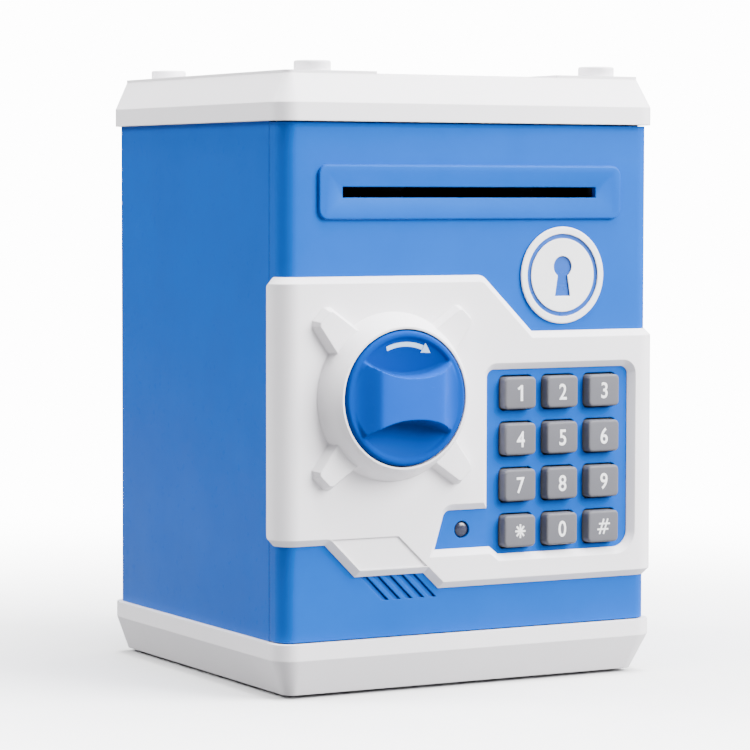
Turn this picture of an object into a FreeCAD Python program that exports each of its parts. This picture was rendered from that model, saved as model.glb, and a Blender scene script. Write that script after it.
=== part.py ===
import FreeCAD, Part
import math
import os
import Sketcher

# A toy electronic savings bank: a blue box with a white cap and base, a front door that turns on two pins at
# its right edge, a turn knob with a latch bolt, a twelve-key pad and a motor-driven note feeder.
# Millimetres. +Z is up, the front faces -Y, and the origin is the centre of the footprint on the table.

doc = FreeCAD.newDocument("savings_bank")
sheet = doc.addObject("Spreadsheet::Sheet", "Params")
Vector = FreeCAD.Vector
Rule = Sketcher.Constraint


# ---------------------------------------------------------------- driving dimensions

DIMENSIONS = {
    "body_width": 128.0,
    "body_depth": 117.8,
    "corner_radius": 5.0,
    "wall": 2.2,
    "overhang": 1.8,
    "rim_radius": 6.8,
    "pad_height": 1.2,
    "pad_radius": 5.0,
    "pad_x": 49.0,
    "pad_y": 44.0,
    "base_top": 16.9,
    "base_skirt": 4.9,
    "base_inset": 4.9,
    "base_rear_inset": 0.6,
    "base_foot_radius": 3.5,
    "cap_bottom": 170.3,
    "cap_skirt": 5.4,
    "cap_top": 185.2,
    "cap_lip": 0.9,
    "cap_inset": 4.45,
    "cap_rear_inset": 2.5,
    "cap_lip_radius": 2.4,
    "boss_radius": 5.5,
    "boss_height": 3.0,
    "boss_x": 49.5,
    "boss_y": 49.9,
    "notch_half": 31.2,
    "notch_run": 16.0,
    "cavity_angle": 12.7,
    "post_x": 56.4,
    "post_rear_y": 51.3,
    "post_front_y": -20.0,
    "post_radius": 3.6,
    "post_height": 13.0,
    "pilot_radius": 1.2,
    "clearance_radius": 1.7,
    "screw_head_radius": 2.8,
    "screw_head_height": 1.8,
    "seam_gap": 0.25,
    "door_gap": 0.35,
    "seam_y": -50.4,
    "hinge_radius": 1.6,
    "hinge_pin_radius": 1.0,
    "hinge_hole_radius": 1.06,
    "hinge_pin_grip": 9.0,
    "hinge_pin_reach": 5.0,
    "flange": 3.2,
    "bezel_width": 104.8,
    "bezel_height": 16.1,
    "bezel_radius": 3.0,
    "bezel_proud": 1.1,
    "funnel_width": 98.4,
    "funnel_height": 12.0,
    "funnel_depth": 1.3,
    "slot_width": 88.0,
    "slot_height": 3.2,
    "slot_z": 149.5,
    "cover_thick": 2.2,
    "cover_top": 124.7,
    "cover_step_x": 3.5,
    "cover_shoulder_x": 20.9,
    "cover_shoulder_z": 107.45,
    "cover_bottom": 30.7,
    "cover_tip_x": -11.6,
    "cover_mid_x": -16.7,
    "cover_mid_z": 35.6,
    "cover_tab_x": -40.1,
    "cover_left_x": -50.1,
    "cover_left_z": 45.6,
    "cover_bevel": 2.0,
    "cover_left_end": -50.9,
    "cover_right_end": -54.6,
    "window_left": 5.2,
    "window_right": 55.6,
    "window_top": 96.0,
    "window_bottom": 40.0,
    "window_corner": 2.4,
    "window_low_corner": 5.0,
    "pocket_left_low": -12.9,
    "pocket_left_high": -9.4,
    "pocket_low": 42.4,
    "pocket_high": 54.0,
    "tab_depth": 0.5,
    "knob_x": -28.5,
    "knob_z": 89.0,
    "knob_radius": 20.2,
    "knob_rim": 70.0,
    "knob_crest": 74.5,
    "knob_crest_radius": 9.0,
    "knob_floor": 68.0,
    "knob_back": 61.6,
    "knob_rim_width": 1.3,
    "knob_hub_radius": 6.0,
    "knob_hub_end": 56.6,
    "grip_end_x": 14.3,
    "grip_end_z": 11.6,
    "grip_waist": 6.4,
    "collar_radius": 25.2,
    "collar_top_radius": 21.1,
    "collar_bore": 20.45,
    "collar_height": 8.2,
    "lug_reach": 35.4,
    "lug_root": 15.3,
    "lug_end": 8.2,
    "lug_height": 3.0,
    "lug_corner": 1.4,
    "badge_x": 31.7,
    "badge_z": 124.3,
    "badge_radius": 14.8,
    "badge_thick": 0.8,
    "key_x": 30.6,
    "key_z": 88.8,
    "key_pitch_x": 15.0,
    "key_pitch_z": 14.0,
    "key_width": 11.1,
    "key_height": 9.7,
    "key_proud": 3.0,
    "key_corner": 1.5,
    "key_gap": 0.55,
    "key_lip": 0.65,
    "led_x": -3.3,
    "led_z": 48.0,
    "led_radius": 2.5,
    "led_hole": 2.6,
    "groove_count": 5,
    "groove_pitch": 4.05,
    "groove_width": 2.4,
    "groove_depth": 0.6,
    "groove_slit": 0.5,
    "groove_low": 28.2,
    "groove_high": 37.0,
    "groove_right_x": -12.1,
    "long_post_radius": 2.6,
    "speaker_x": -26.0,
    "speaker_z": 37.5,
    "speaker_radius": 14.0,
    "housing_left": -54.0,
    "housing_right": 57.5,
    "housing_low": 22.0,
    "housing_high": 165.0,
    "housing_back": -27.0,
    "housing_wall": 2.0,
    "feed_y": -43.8,
    "roller_radius": 5.1,
    "nip_gap": 0.1,
    "feed_shaft_radius": 1.5,
    "frame_half": 44.0,
    "frame_plate": 2.4,
    "gear_module": 0.8,
    "gear_width": 3.6,
    "motor_teeth": 10,
    "idler_teeth": 28,
    "drive_teeth": 16,
    "motor_radius": 10.0,
    "motor_flat": 7.5,
    "motor_length": 25.4,
    "pinion_module": 0.75,
    "pinion_teeth": 10,
    "pinion_front": -47.0,
    "pinion_back": -42.0,
    "bolt_tip_x": -56.2,
    "bolt_end_x": -14.0,
    "bolt_height": 9.4,
    "bolt_throw": 5.236,
    "plunger_x": -36.0,
    "plunger_radius": 1.6,
    "bay_left": -9.0,
    "bay_right": 53.5,
    "bay_low": 43.0,
    "bay_high": 92.0,
    "bay_floor": -44.5,
    "cell_radius": 7.1,
    "cell_length": 49.0,
    "cell_pitch": 16.2,
    "cell_z": 67.5,
    "cell_y": -37.3,
    "board_y": -38.4,
}


class Size:
    """A number kept together with the spreadsheet formula that gives it."""

    def __init__(self, value, text):
        self.value = value
        self.text = text

    def __add__(self, other):
        other = size_of(other)
        return Size(self.value + other.value, f"({self.text} + {other.text})")

    def __sub__(self, other):
        other = size_of(other)
        return Size(self.value - other.value, f"({self.text} - {other.text})")

    def __mul__(self, other):
        other = size_of(other)
        return Size(self.value * other.value, f"({self.text} * {other.text})")

    def __truediv__(self, other):
        other = size_of(other)
        return Size(self.value / other.value, f"({self.text} / {other.text})")

    def __radd__(self, other):
        return size_of(other) + self

    def __rsub__(self, other):
        return size_of(other) - self

    def __rmul__(self, other):
        return size_of(other) * self

    def __neg__(self):
        return size_of(0) - self


def size_of(value):
    """A Size for a plain number, or the Size itself."""
    if isinstance(value, Size):
        return value
    return Size(float(value), f"({float(value)})")


class Sizes:
    """The driving dimensions by name, as Size values."""


def fill_sheet():
    """Writes the driving dimensions to the spreadsheet, one aliased cell each."""
    sizes = Sizes()
    for row, (name, value) in enumerate(DIMENSIONS.items(), start=1):
        sheet.set(f"A{row}", name)
        sheet.set(f"B{row}", str(value))
        sheet.setAlias(f"B{row}", name)
        setattr(sizes, name, Size(float(value), f"Params.{name}"))
    doc.recompute()
    return sizes


P = fill_sheet()

HALF_WIDTH = P.body_width / 2
HALF_DEPTH = P.body_depth / 2
FACE_Y = -HALF_DEPTH
COVER_Y = FACE_Y - P.cover_thick
PLATE_BACK = FACE_Y + P.wall
DOOR_BACK = P.seam_y - P.seam_gap
HINGE_X = HALF_WIDTH - P.hinge_radius
HINGE_Y = DOOR_BACK - P.hinge_radius
DOOR_LOW = P.base_top + P.door_gap
DOOR_HIGH = P.cap_bottom - P.door_gap
KEY_COLUMNS = 3
KEY_ROWS = 4
KEY_NAMES = ["1", "2", "3", "4", "5", "6", "7", "8", "9", "star", "0", "hash"]
LOWER_ROLLER_Z = P.slot_z - P.roller_radius - P.nip_gap / 2
UPPER_ROLLER_Z = P.slot_z + P.roller_radius + P.nip_gap / 2
IDLER_Z = LOWER_ROLLER_Z - P.gear_module * (P.idler_teeth + P.drive_teeth) / 2
MOTOR_Z = IDLER_Z - P.gear_module * (P.idler_teeth + P.motor_teeth) / 2
GEAR_X = P.frame_half + P.frame_plate + 0.9
RACK_Z = P.knob_z + P.pinion_module * P.pinion_teeth / 2
BOLT_LOW = RACK_Z + 0.9
BOLT_HIGH = BOLT_LOW + P.bolt_height
LOCK_Y = (P.pinion_front + P.pinion_back) / 2
DOOR_POSTS = [(-49.2, 27.0), (52.6, 27.0), (-49.2, 160.0), (52.6, 160.0)]
KEYPAD_POSTS = [(10.0, 37.6), (51.5, 37.6), (10.0, 98.0), (51.5, 98.0)]
CONTROL_POSTS = [(-46.0, 77.8), (-15.5, 77.8), (-46.0, 37.0), (-15.5, 51.0)]
GUIDE_POSTS = [(-48.5, 98.3), (-19.0, 98.3)]
LOCK_POSTS = [(-36.0, 112.5), (-36.0, 121.5)]
LID_SCREW = (22.0, 96.8)
RESET_SPOT = (-31.0, 44.0)
SWITCH_SPOT = (-31.0, 60.0)


# ---------------------------------------------------------------- tools for sketches and features

PLANES = {"top": "XY_Plane", "front": "XZ_Plane", "side": "YZ_Plane"}


def bind(thing, path, size):
    """Ties a property or a sketch constraint to its formula."""
    thing.setExpression(path, size_of(size).text)


def new_body(label):
    """A PartDesign body that may hold several separate solids."""
    body = doc.addObject("PartDesign::Body", label)
    body.Label = label
    body.AllowCompound = True
    return body


def new_sketch(body, view, level, shift=(0, 0)):
    """A sketch across the axis of a view at a level: top is z, side is x, and front is y."""
    sketch = body.newObject("Sketcher::SketchObject", f"{body.Label}_sketch")
    plane = [item for item in body.Origin.OriginFeatures if item.Role == PLANES[view]][0]
    sketch.AttachmentSupport = [(plane, "")]
    sketch.MapMode = "FlatFace"
    bind(sketch, "AttachmentOffset.Base.x", shift[0])
    bind(sketch, "AttachmentOffset.Base.y", shift[1])
    bind(sketch, "AttachmentOffset.Base.z", -size_of(level) if view == "front" else level)
    return sketch


def rule(sketch, name, size, *words):
    """A named dimension of a sketch, tied to its formula."""
    size = size_of(size)
    index = sketch.addConstraint(Rule(*words, size.value))
    sketch.renameConstraint(index, name)
    bind(sketch, f"Constraints.{name}", size)


def polygon(sketch, points):
    """A closed outline of straight lines through the given corners."""
    first = sketch.GeometryCount
    points = [(size_of(across), size_of(along)) for across, along in points]
    corners = [Vector(across.value, along.value, 0) for across, along in points]
    count = len(corners)
    for index in range(count):
        sketch.addGeometry(Part.LineSegment(corners[index], corners[(index + 1) % count]), False)
    for index in range(count):
        here = first + index
        sketch.addConstraint(Rule("Coincident", here, 2, first + (index + 1) % count, 1))
        rule(sketch, f"across{here}", points[index][0], "DistanceX", -1, 1, here, 1)
        rule(sketch, f"along{here}", points[index][1], "DistanceY", -1, 1, here, 1)


def rectangle(low_across, low_along, high_across, high_along):
    """Draws a rectangle between two corners."""
    corners = [
        (low_across, low_along),
        (high_across, low_along),
        (high_across, high_along),
        (low_across, high_along),
    ]
    return lambda sketch: polygon(sketch, corners)


def outline(points):
    """Draws a closed polygon."""
    return lambda sketch: polygon(sketch, points)


def discs(centres, radius):
    """Draws one circle at each centre."""

    def draw(sketch):
        radius_size = size_of(radius)
        for across, along in centres:
            across = size_of(across)
            along = size_of(along)
            index = sketch.GeometryCount
            centre = Vector(across.value, along.value, 0)
            sketch.addGeometry(Part.Circle(centre, Vector(0, 0, 1), radius_size.value), False)
            rule(sketch, f"radius{index}", radius_size, "Radius", index)
            rule(sketch, f"across{index}", across, "DistanceX", -1, 1, index, 3)
            rule(sketch, f"along{index}", along, "DistanceY", -1, 1, index, 3)

    return draw


def disc(across, along, radius):
    """Draws one circle."""
    return discs([(across, along)], radius)


def rounded(width, height, radius, across=0, along=0):
    """Draws a rectangle with round corners about a centre."""

    def draw(sketch):
        wide, high, bend = size_of(width), size_of(height), size_of(radius)
        x, y = size_of(across), size_of(along)
        half_w, half_h, r = wide.value / 2, high.value / 2, bend.value
        turn = math.pi / 2
        places = [(1, -1), (1, 1), (-1, 1), (-1, -1)]
        arcs = []
        for quarter, (right, up) in enumerate(places):
            centre = Vector(x.value + right * (half_w - r), y.value + up * (half_h - r), 0)
            circle = Part.Circle(centre, Vector(0, 0, 1), r)
            arcs.append(Part.ArcOfCircle(circle, (quarter - 1) * turn, quarter * turn))
        first = sketch.GeometryCount
        for quarter in range(4):
            start = arcs[quarter - 1].EndPoint
            sketch.addGeometry(Part.LineSegment(start, arcs[quarter].StartPoint), False)
            sketch.addGeometry(arcs[quarter], False)
        for quarter in range(4):
            line = first + 2 * quarter
            next_line = first + 2 * ((quarter + 1) % 4)
            sketch.addConstraint(Rule("Tangent", line, 2, line + 1, 1))
            sketch.addConstraint(Rule("Tangent", line + 1, 2, next_line, 1))
            sketch.addConstraint(Rule("Vertical" if quarter % 2 else "Horizontal", line))
        for quarter in range(1, 4):
            sketch.addConstraint(Rule("Equal", first + 1, first + 1 + 2 * quarter))
        rule(sketch, f"bend{first}", bend, "Radius", first + 1)
        rule(sketch, f"wide{first}", wide, "DistanceX", first + 6, 1, first + 2, 1)
        rule(sketch, f"high{first}", high, "DistanceY", first, 1, first + 4, 1)
        rule(sketch, f"across{first}", x - wide / 2, "DistanceX", -1, 1, first + 6, 1)
        rule(sketch, f"along{first}", y - high / 2, "DistanceY", -1, 1, first, 1)

    return draw


def add(body, view, low, high, draw, taper=None, downward=False):
    """Pads a sketch between two levels. With a taper the sketched size is at low, or at high if downward."""
    low, high = size_of(low), size_of(high)
    from_high = (view == "front") != downward
    sketch = new_sketch(body, view, high if from_high else low)
    draw(sketch)
    feature = body.newObject("PartDesign::Pad", f"{body.Label}_pad")
    feature.Profile = sketch
    feature.Reversed = downward
    bind(feature, "Length", high - low)
    if taper is not None:
        bind(feature, "TaperAngle", -size_of(taper))
    return feature


def cut(body, view, low, high, draw, taper=None, upward=False):
    """Cuts a sketch out between two levels. With a taper the sketched size is at the entry face."""
    low, high = size_of(low), size_of(high)
    from_low = (view == "front") != upward
    sketch = new_sketch(body, view, low if from_low else high)
    draw(sketch)
    feature = body.newObject("PartDesign::Pocket", f"{body.Label}_cut")
    feature.Profile = sketch
    feature.Reversed = upward
    bind(feature, "Length", high - low)
    if taper is not None:
        bind(feature, "TaperAngle", -size_of(taper))
    return feature


def turn(body, view, level, shift, draw, groove=False):
    """Turns a sketch a full circle about the upright axis of the sketch."""
    sketch = new_sketch(body, view, level, shift)
    draw(sketch)
    kind = "PartDesign::Groove" if groove else "PartDesign::Revolution"
    feature = body.newObject(kind, f"{body.Label}_turn")
    feature.Profile = sketch
    feature.ReferenceAxis = (sketch, ["V_Axis"])
    feature.Angle = 360
    return feature


def edge_names(feature, wanted):
    """Names of a feature's edges that pass a test."""
    doc.recompute()
    edges = enumerate(feature.Shape.Edges, start=1)
    return [f"Edge{number}" for number, edge in edges if wanted(edge)]


def dress(body, kind, feature, wanted, size):
    """Rounds or bevels the edges of a feature that pass a test."""
    names = edge_names(feature, wanted)
    if not names:
        raise ValueError(f"{body.Label}: no edge to dress on {feature.Label}")
    dressed = body.newObject(f"PartDesign::{kind}", f"{body.Label}_{kind.lower()}")
    dressed.Base = (feature, names)
    bind(dressed, "Radius" if kind == "Fillet" else "Size", size)
    return dressed


def along_axis(edge, axis):
    """True for a straight edge that runs along X, Y or Z."""
    if edge.Curve.TypeId != "Part::GeomLine":
        return False
    direction = edge.Curve.Direction
    return abs(abs(direction[axis]) - 1) < 1e-6


def near(edge, **place):
    """True when an edge's middle is at the given coordinates."""
    middle = edge.valueAt((edge.FirstParameter + edge.LastParameter) / 2)
    found = {"x": middle.x, "y": middle.y, "z": middle.z}
    return all(abs(found[name] - size_of(at).value) < 0.02 for name, at in place.items())


def flat_at(edge, axis, level):
    """True when a whole edge lies in a plane across X, Y or Z."""
    box = edge.BoundBox
    low = (box.XMin, box.YMin, box.ZMin)[axis]
    high = (box.XMax, box.YMax, box.ZMax)[axis]
    level = size_of(level).value
    return abs(low - level) < 0.02 and abs(high - level) < 0.02


def cylinder(label, radius, low, high, axis, centre):
    """A Part cylinder between two levels along X, Y or Z, with its centre given across that axis."""
    item = doc.addObject("Part::Cylinder", label)
    low, high = size_of(low), size_of(high)
    bind(item, "Radius", radius)
    bind(item, "Height", high - low)
    turns = {"X": (Vector(0, 1, 0), 90), "Y": (Vector(1, 0, 0), -90), "Z": (Vector(0, 0, 1), 0)}
    item.Placement = FreeCAD.Placement(Vector(0, 0, 0), FreeCAD.Rotation(*turns[axis]))
    spots = {"X": (low, centre[0], centre[1]), "Y": (centre[0], low, centre[1])}
    spot = spots.get(axis, (centre[0], centre[1], low))
    for letter, size in zip("xyz", spot):
        bind(item, f"Placement.Base.{letter}", size)
    return item


def box(label, low, high):
    """A Part box between two corners."""
    item = doc.addObject("Part::Box", label)
    sides = [size_of(b) - size_of(a) for a, b in zip(low, high)]
    for name, size in zip(("Length", "Width", "Height"), sides):
        bind(item, name, size)
    for letter, size in zip("xyz", low):
        bind(item, f"Placement.Base.{letter}", size)
    return item


def fuse(label, items):
    """Joins Part objects into one."""
    joined = doc.addObject("Part::MultiFuse", label)
    joined.Shapes = items
    joined.Label = label
    return joined


def remove(label, stock, tool):
    """Takes one Part object out of another."""
    result = doc.addObject("Part::Cut", label)
    result.Base = stock
    result.Tool = tool
    result.Label = label
    return result


def group(label, items):
    """Several separate solids of the same kind, as one sub-part."""
    held = doc.addObject("Part::Compound", label)
    held.Links = items
    held.Label = label
    return held


NODES = {}


def keep(label, item):
    """Records a finished sub-part under its file name."""
    item.Label = label
    NODES[label] = item
    return item


# ---------------------------------------------------------------- standing body


def post_centres(extra=()):
    """Centres of the four case screw posts, seen from above."""
    corners = [
        (-P.post_x, P.post_rear_y),
        (P.post_x, P.post_rear_y),
        (-P.post_x, P.post_front_y),
        (P.post_x, P.post_front_y),
    ]
    return corners + list(extra)


def post_ribs(sketch):
    """Draws the ribs that join the case screw posts to the side walls."""
    wall_in = HALF_WIDTH - P.wall / 2
    for side in (-1, 1):
        for y in (P.post_rear_y, P.post_front_y):
            ends = [side * P.post_x, side * wall_in]
            left, right = ends if side > 0 else ends[::-1]
            rectangle(left, y - 1.2, right, y + 1.2)(sketch)


def make_body_shell():
    """The blue left, back and right walls with screw posts and the keeper of the latch bolt."""
    body = new_body("body_shell")
    inner_w = P.body_width - 2 * P.wall
    reach = HALF_WIDTH + 5
    add(body, "top", P.base_top, P.cap_bottom, rounded(P.body_width, P.body_depth, P.corner_radius))
    hollow = rounded(inner_w, P.body_depth - P.wall + 6, P.corner_radius - P.wall, 0, -P.wall / 2 - 3)
    cut(body, "top", P.base_top, P.cap_bottom, hollow)
    front = rectangle(-reach, FACE_Y - 5, reach, P.seam_y)
    cut(body, "top", P.base_top, P.cap_bottom, front)
    for low, high in ((P.base_top, P.base_top + P.post_height), (P.cap_bottom - 5, P.cap_bottom)):
        add(body, "top", low, high, discs(post_centres(), P.post_radius))
        add(body, "top", low, high, post_ribs)
    pilot = discs(post_centres(), P.pilot_radius)
    cut(body, "top", P.base_top, P.base_top + P.post_height - 2, pilot, upward=True)
    cut(body, "top", P.cap_bottom - 5, P.cap_bottom, discs(post_centres(), P.clearance_radius))
    wall_in = -HALF_WIDTH + P.wall
    keeper_x = wall_in + 4.5
    block = rectangle(P.seam_y + 0.4, BOLT_LOW - 2.6, P.seam_y + 12.4, BOLT_HIGH + 2.6)
    add(body, "side", wall_in - 0.6, keeper_x, block)
    mouth = rectangle(P.pinion_front - 0.6, BOLT_LOW - 0.7, P.pinion_back + 0.6, BOLT_HIGH + 0.7)
    cut(body, "side", wall_in, keeper_x, mouth)
    keep("body_shell", body)


def inset_rim(inset, rear_inset, radius):
    """Draws the rim of the cap and base, drawn in by one amount all round but by less at the rear."""
    wide = P.body_width + 2 * P.overhang - 2 * inset
    deep = P.body_depth + 2 * P.overhang - inset - rear_inset
    return rounded(wide, deep, radius, 0, (inset - rear_inset) / 2)


def slope_between(body, low, low_draw, high, high_draw):
    """Fills the space between two outlines at two heights with straight sloped sides."""
    lower = new_sketch(body, "top", low)
    low_draw(lower)
    upper = new_sketch(body, "top", high)
    high_draw(upper)
    slope = body.newObject("PartDesign::AdditiveLoft", f"{body.Label}_slope")
    slope.Profile = lower
    slope.Sections = [upper]
    slope.Ruled = True


def make_base():
    """The white tray: an upright skirt, a slope below it, a floor, four posts and the lower hinge seat."""
    body = new_body("base")
    rim_w = P.body_width + 2 * P.overhang
    rim_d = P.body_depth + 2 * P.overhang
    bend = P.base_top - P.base_skirt
    add(body, "top", bend, P.base_top, rounded(rim_w, rim_d, P.rim_radius))
    foot = inset_rim(P.base_inset, P.base_rear_inset, P.base_foot_radius)
    slope_between(body, P.pad_height, foot, bend, rounded(rim_w, rim_d, P.rim_radius))
    cavity = rounded(P.body_width - 5.2, P.body_depth - 5.2, 4.0)
    floor = P.pad_height + 2.4
    cut(body, "top", floor, P.base_top, cavity, taper=P.cavity_angle)
    posts = post_centres()
    add(body, "top", floor - 0.2, P.base_top, discs(posts, P.post_radius))
    seat = rectangle(HINGE_X - 5, HINGE_Y - 4, HINGE_X + 1.4, HINGE_Y + 3)
    add(body, "top", P.base_top - 8, P.base_top, seat)
    cut(body, "top", P.pad_height, P.base_top, discs(posts, P.clearance_radius))
    head = discs(posts, P.screw_head_radius + 0.3)
    cut(body, "top", P.pad_height, P.base_top - 6, head, upward=True)
    hole = disc(HINGE_X, HINGE_Y, P.hinge_hole_radius)
    cut(body, "top", P.base_top - P.hinge_pin_reach - 0.5, P.base_top, hole)
    keep("base", body)


def make_top_cap():
    """The white lid: skirt, slope, low lip with a gap in front, four bosses, posts and upper hinge seat."""
    body = new_body("top_cap")
    rim_w = P.body_width + 2 * P.overhang
    rim_d = P.body_depth + 2 * P.overhang
    bend = P.cap_bottom + P.cap_skirt
    add(body, "top", P.cap_bottom, bend, rounded(rim_w, rim_d, P.rim_radius))
    ledge = P.cap_top - P.cap_lip
    crest = inset_rim(P.cap_inset, P.cap_rear_inset, P.cap_lip_radius)
    slope_between(body, bend, rounded(rim_w, rim_d, P.rim_radius), ledge, crest)
    add(body, "top", ledge, P.cap_top, crest)
    ceiling = P.cap_top - 2.4
    cavity = rounded(P.body_width - 5.2, P.body_depth - 5.2, 4.0)
    cut(body, "top", P.cap_bottom, ceiling, cavity, taper=P.cavity_angle, upward=True)
    posts = post_centres()
    add(body, "top", P.cap_bottom, ceiling + 0.2, discs(posts, P.post_radius))
    cut(body, "top", P.cap_bottom, ceiling - 1, discs(posts, P.pilot_radius), upward=True)
    seat = rectangle(HINGE_X - 5, HINGE_Y - 4, HINGE_X + 1.4, HINGE_Y + 3)
    add(body, "top", P.cap_bottom, P.cap_bottom + 8, seat)
    hole = disc(HINGE_X, HINGE_Y, P.hinge_hole_radius)
    cut(body, "top", P.cap_bottom, P.cap_bottom + P.hinge_pin_reach + 0.5, hole, upward=True)
    notch = rectangle(-P.notch_half, FACE_Y - 5, P.notch_half, FACE_Y + 3.1 + P.notch_run)
    cut(body, "top", ledge, P.cap_top, notch)
    corners = [(x, y) for x in (-P.boss_x, P.boss_x) for y in (-P.boss_y, P.boss_y)]
    bosses = add(body, "top", P.cap_top, P.cap_top + P.boss_height, discs(corners, P.boss_radius))
    crown = P.cap_top + P.boss_height
    dress(body, "Fillet", bosses, lambda edge: flat_at(edge, 2, crown), 0.6)
    keep("top_cap", body)


def make_rest_pads():
    """Soft pads under the base, one at the middle and one near each corner."""
    body = new_body("rest_pads")
    centres = [(x, y) for x in (-P.pad_x, P.pad_x) for y in (-P.pad_y, P.pad_y)]
    add(body, "top", 0, P.pad_height, discs(centres + [(0, 0)], P.pad_radius))
    keep("rest_pads", body)


def crosses(spots, reach=1.4, half=0.32):
    """Draws the cross-shaped driver recess of a screw at each spot."""

    def draw(sketch):
        for across, along in spots:
            across, along = size_of(across), size_of(along)
            arm = [(half, half), (half, reach), (-half, reach)]
            corners = []
            for _ in range(4):
                corners += [(across + x, along + y) for x, y in arm]
                arm = [(-y, x) for x, y in arm]
            polygon(sketch, corners)

    return draw


def make_case_screws():
    """Eight screws: four up through the base and four up through the walls into the cap."""
    body = new_body("case_screws")
    posts = post_centres()
    shank = P.pilot_radius
    low_head = P.base_top - 6
    add(body, "top", low_head - P.screw_head_height, low_head, discs(posts, P.screw_head_radius))
    add(body, "top", low_head, P.base_top + 9, discs(posts, shank))
    top_head = P.cap_bottom - 5
    add(body, "top", top_head - P.screw_head_height, top_head, discs(posts, P.screw_head_radius))
    add(body, "top", top_head, P.cap_bottom + 9, discs(posts, shank))
    for head in (low_head, top_head):
        under = head - P.screw_head_height
        cut(body, "top", under, under + 1.1, crosses(posts), upward=True)
    keep("case_screws", body)


# ---------------------------------------------------------------- door shell and its covers


def key_place(index):
    """Centre of a key in the front view, counted from the upper left."""
    column = index % KEY_COLUMNS - 1
    row = index // KEY_COLUMNS
    return P.key_x + column * P.key_pitch_x, P.key_z - row * P.key_pitch_z


def grooves(width, back=0.0):
    """Draws the slanted speaker grooves, each leaning up to the left at 45 degrees."""

    def draw(sketch):
        rise = P.groove_high - P.groove_low
        for number in range(int(P.groove_count.value)):
            right = P.groove_right_x - number * P.groove_pitch - back
            left = right - width
            corners = [
                (left, P.groove_low),
                (right, P.groove_low),
                (right - rise, P.groove_high),
                (left - rise, P.groove_high),
            ]
            polygon(sketch, corners)

    return draw


def make_key_holes(body):
    """The twelve key holes, as one pocket repeated along both directions."""
    across, along = key_place(0)
    wide = P.key_width + 2 * P.key_gap
    high = P.key_height + 2 * P.key_gap
    draw = rounded(wide, high, P.key_corner + 0.3, across, along)
    pocket = cut(body, "front", FACE_Y - 1, PLATE_BACK + 0.5, draw)
    grid = body.newObject("PartDesign::MultiTransform", "key_grid")
    steps = []
    for axis, count, pitch in (("H_Axis", KEY_COLUMNS, P.key_pitch_x), ("V_Axis", KEY_ROWS, P.key_pitch_z)):
        pattern = doc.addObject("PartDesign::LinearPattern", f"key_{axis}")
        pattern.Direction = (pocket.Profile[0], [axis])
        pattern.Reversed = axis == "V_Axis"
        pattern.Occurrences = count
        bind(pattern, "Length", pitch * (count - 1))
        steps.append(pattern)
    grid.Originals = [pocket]
    grid.Transformations = steps
    body.Tip = grid


def make_door_shell():
    """The blue front: plate, edge walls, slot bezel, key holes, speaker grooves, posts and hinge knuckle."""
    body = new_body("door_shell")
    reach = HALF_WIDTH + 5
    add(body, "top", DOOR_LOW, DOOR_HIGH, rounded(P.body_width, P.body_depth, P.corner_radius))
    cut(body, "top", DOOR_LOW, DOOR_HIGH, rectangle(-reach, DOOR_BACK, reach, HALF_DEPTH + 5))
    right_in = HALF_WIDTH - P.flange
    left_in = -HALF_WIDTH + P.wall
    inner = rectangle(left_in, PLATE_BACK, right_in, DOOR_BACK + 1)
    cut(body, "top", DOOR_LOW + P.wall, DOOR_HIGH - P.wall, inner)
    nose = rectangle(right_in, HINGE_Y, reach, DOOR_BACK + 1)
    cut(body, "top", DOOR_LOW, DOOR_HIGH, nose)
    add(body, "top", DOOR_LOW, DOOR_HIGH, disc(HINGE_X, HINGE_Y, P.hinge_radius))
    bore = disc(HINGE_X, HINGE_Y, P.hinge_pin_radius)
    cut(body, "top", DOOR_LOW, DOOR_LOW + P.hinge_pin_grip, bore, upward=True)
    cut(body, "top", DOOR_HIGH - P.hinge_pin_grip, DOOR_HIGH, bore)
    frame = rounded(P.bezel_width, P.bezel_height, P.bezel_radius, 0, P.slot_z)
    bezel = add(body, "front", FACE_Y - P.bezel_proud, FACE_Y + 0.5, frame)
    bezel_face = FACE_Y - P.bezel_proud
    dress(body, "Fillet", bezel, lambda edge: flat_at(edge, 1, bezel_face), 0.5)
    make_funnel(body, bezel_face)
    half = P.slot_width / 2
    gap = P.slot_height / 2
    slot = rectangle(-half, P.slot_z - gap, half, P.slot_z + gap)
    cut(body, "front", FACE_Y - 2, PLATE_BACK + 0.5, slot)
    make_key_holes(body)
    cut(body, "front", FACE_Y - 1, FACE_Y + P.groove_depth, grooves(P.groove_width))
    cut(body, "front", FACE_Y, PLATE_BACK + 0.5, grooves(P.groove_slit, back=0.05))
    cut(body, "front", FACE_Y - 1, PLATE_BACK + 0.5, disc(P.led_x, P.led_z, P.led_hole))
    hub_hole = disc(P.knob_x, P.knob_z, P.knob_hub_radius + 0.06)
    cut(body, "front", FACE_Y - 1, PLATE_BACK + 0.5, hub_hole)
    make_door_posts(body)
    keep("door_shell", body)


def make_door_posts(body):
    """Posts behind the door plate: four long ones for the inner cover and short ones for boards and lock."""
    root = PLATE_BACK - 0.3
    back_in = P.housing_back - P.housing_wall
    add(body, "front", root, back_in, discs(DOOR_POSTS, P.long_post_radius))
    cut(body, "front", back_in - 14, back_in + 1, discs(DOOR_POSTS, P.pilot_radius), upward=True)
    board_front = PLATE_BACK + 3.4
    add(body, "front", root, board_front, discs(KEYPAD_POSTS, 2.0))
    cut(body, "front", PLATE_BACK - 0.2, board_front + 1, discs(KEYPAD_POSTS, 0.9), upward=True)
    add(body, "front", root, P.pinion_front - 1.8, discs(GUIDE_POSTS, 1.8))
    add(body, "front", root, LOCK_Y - 6.5, discs(LOCK_POSTS, 2.2))


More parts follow.
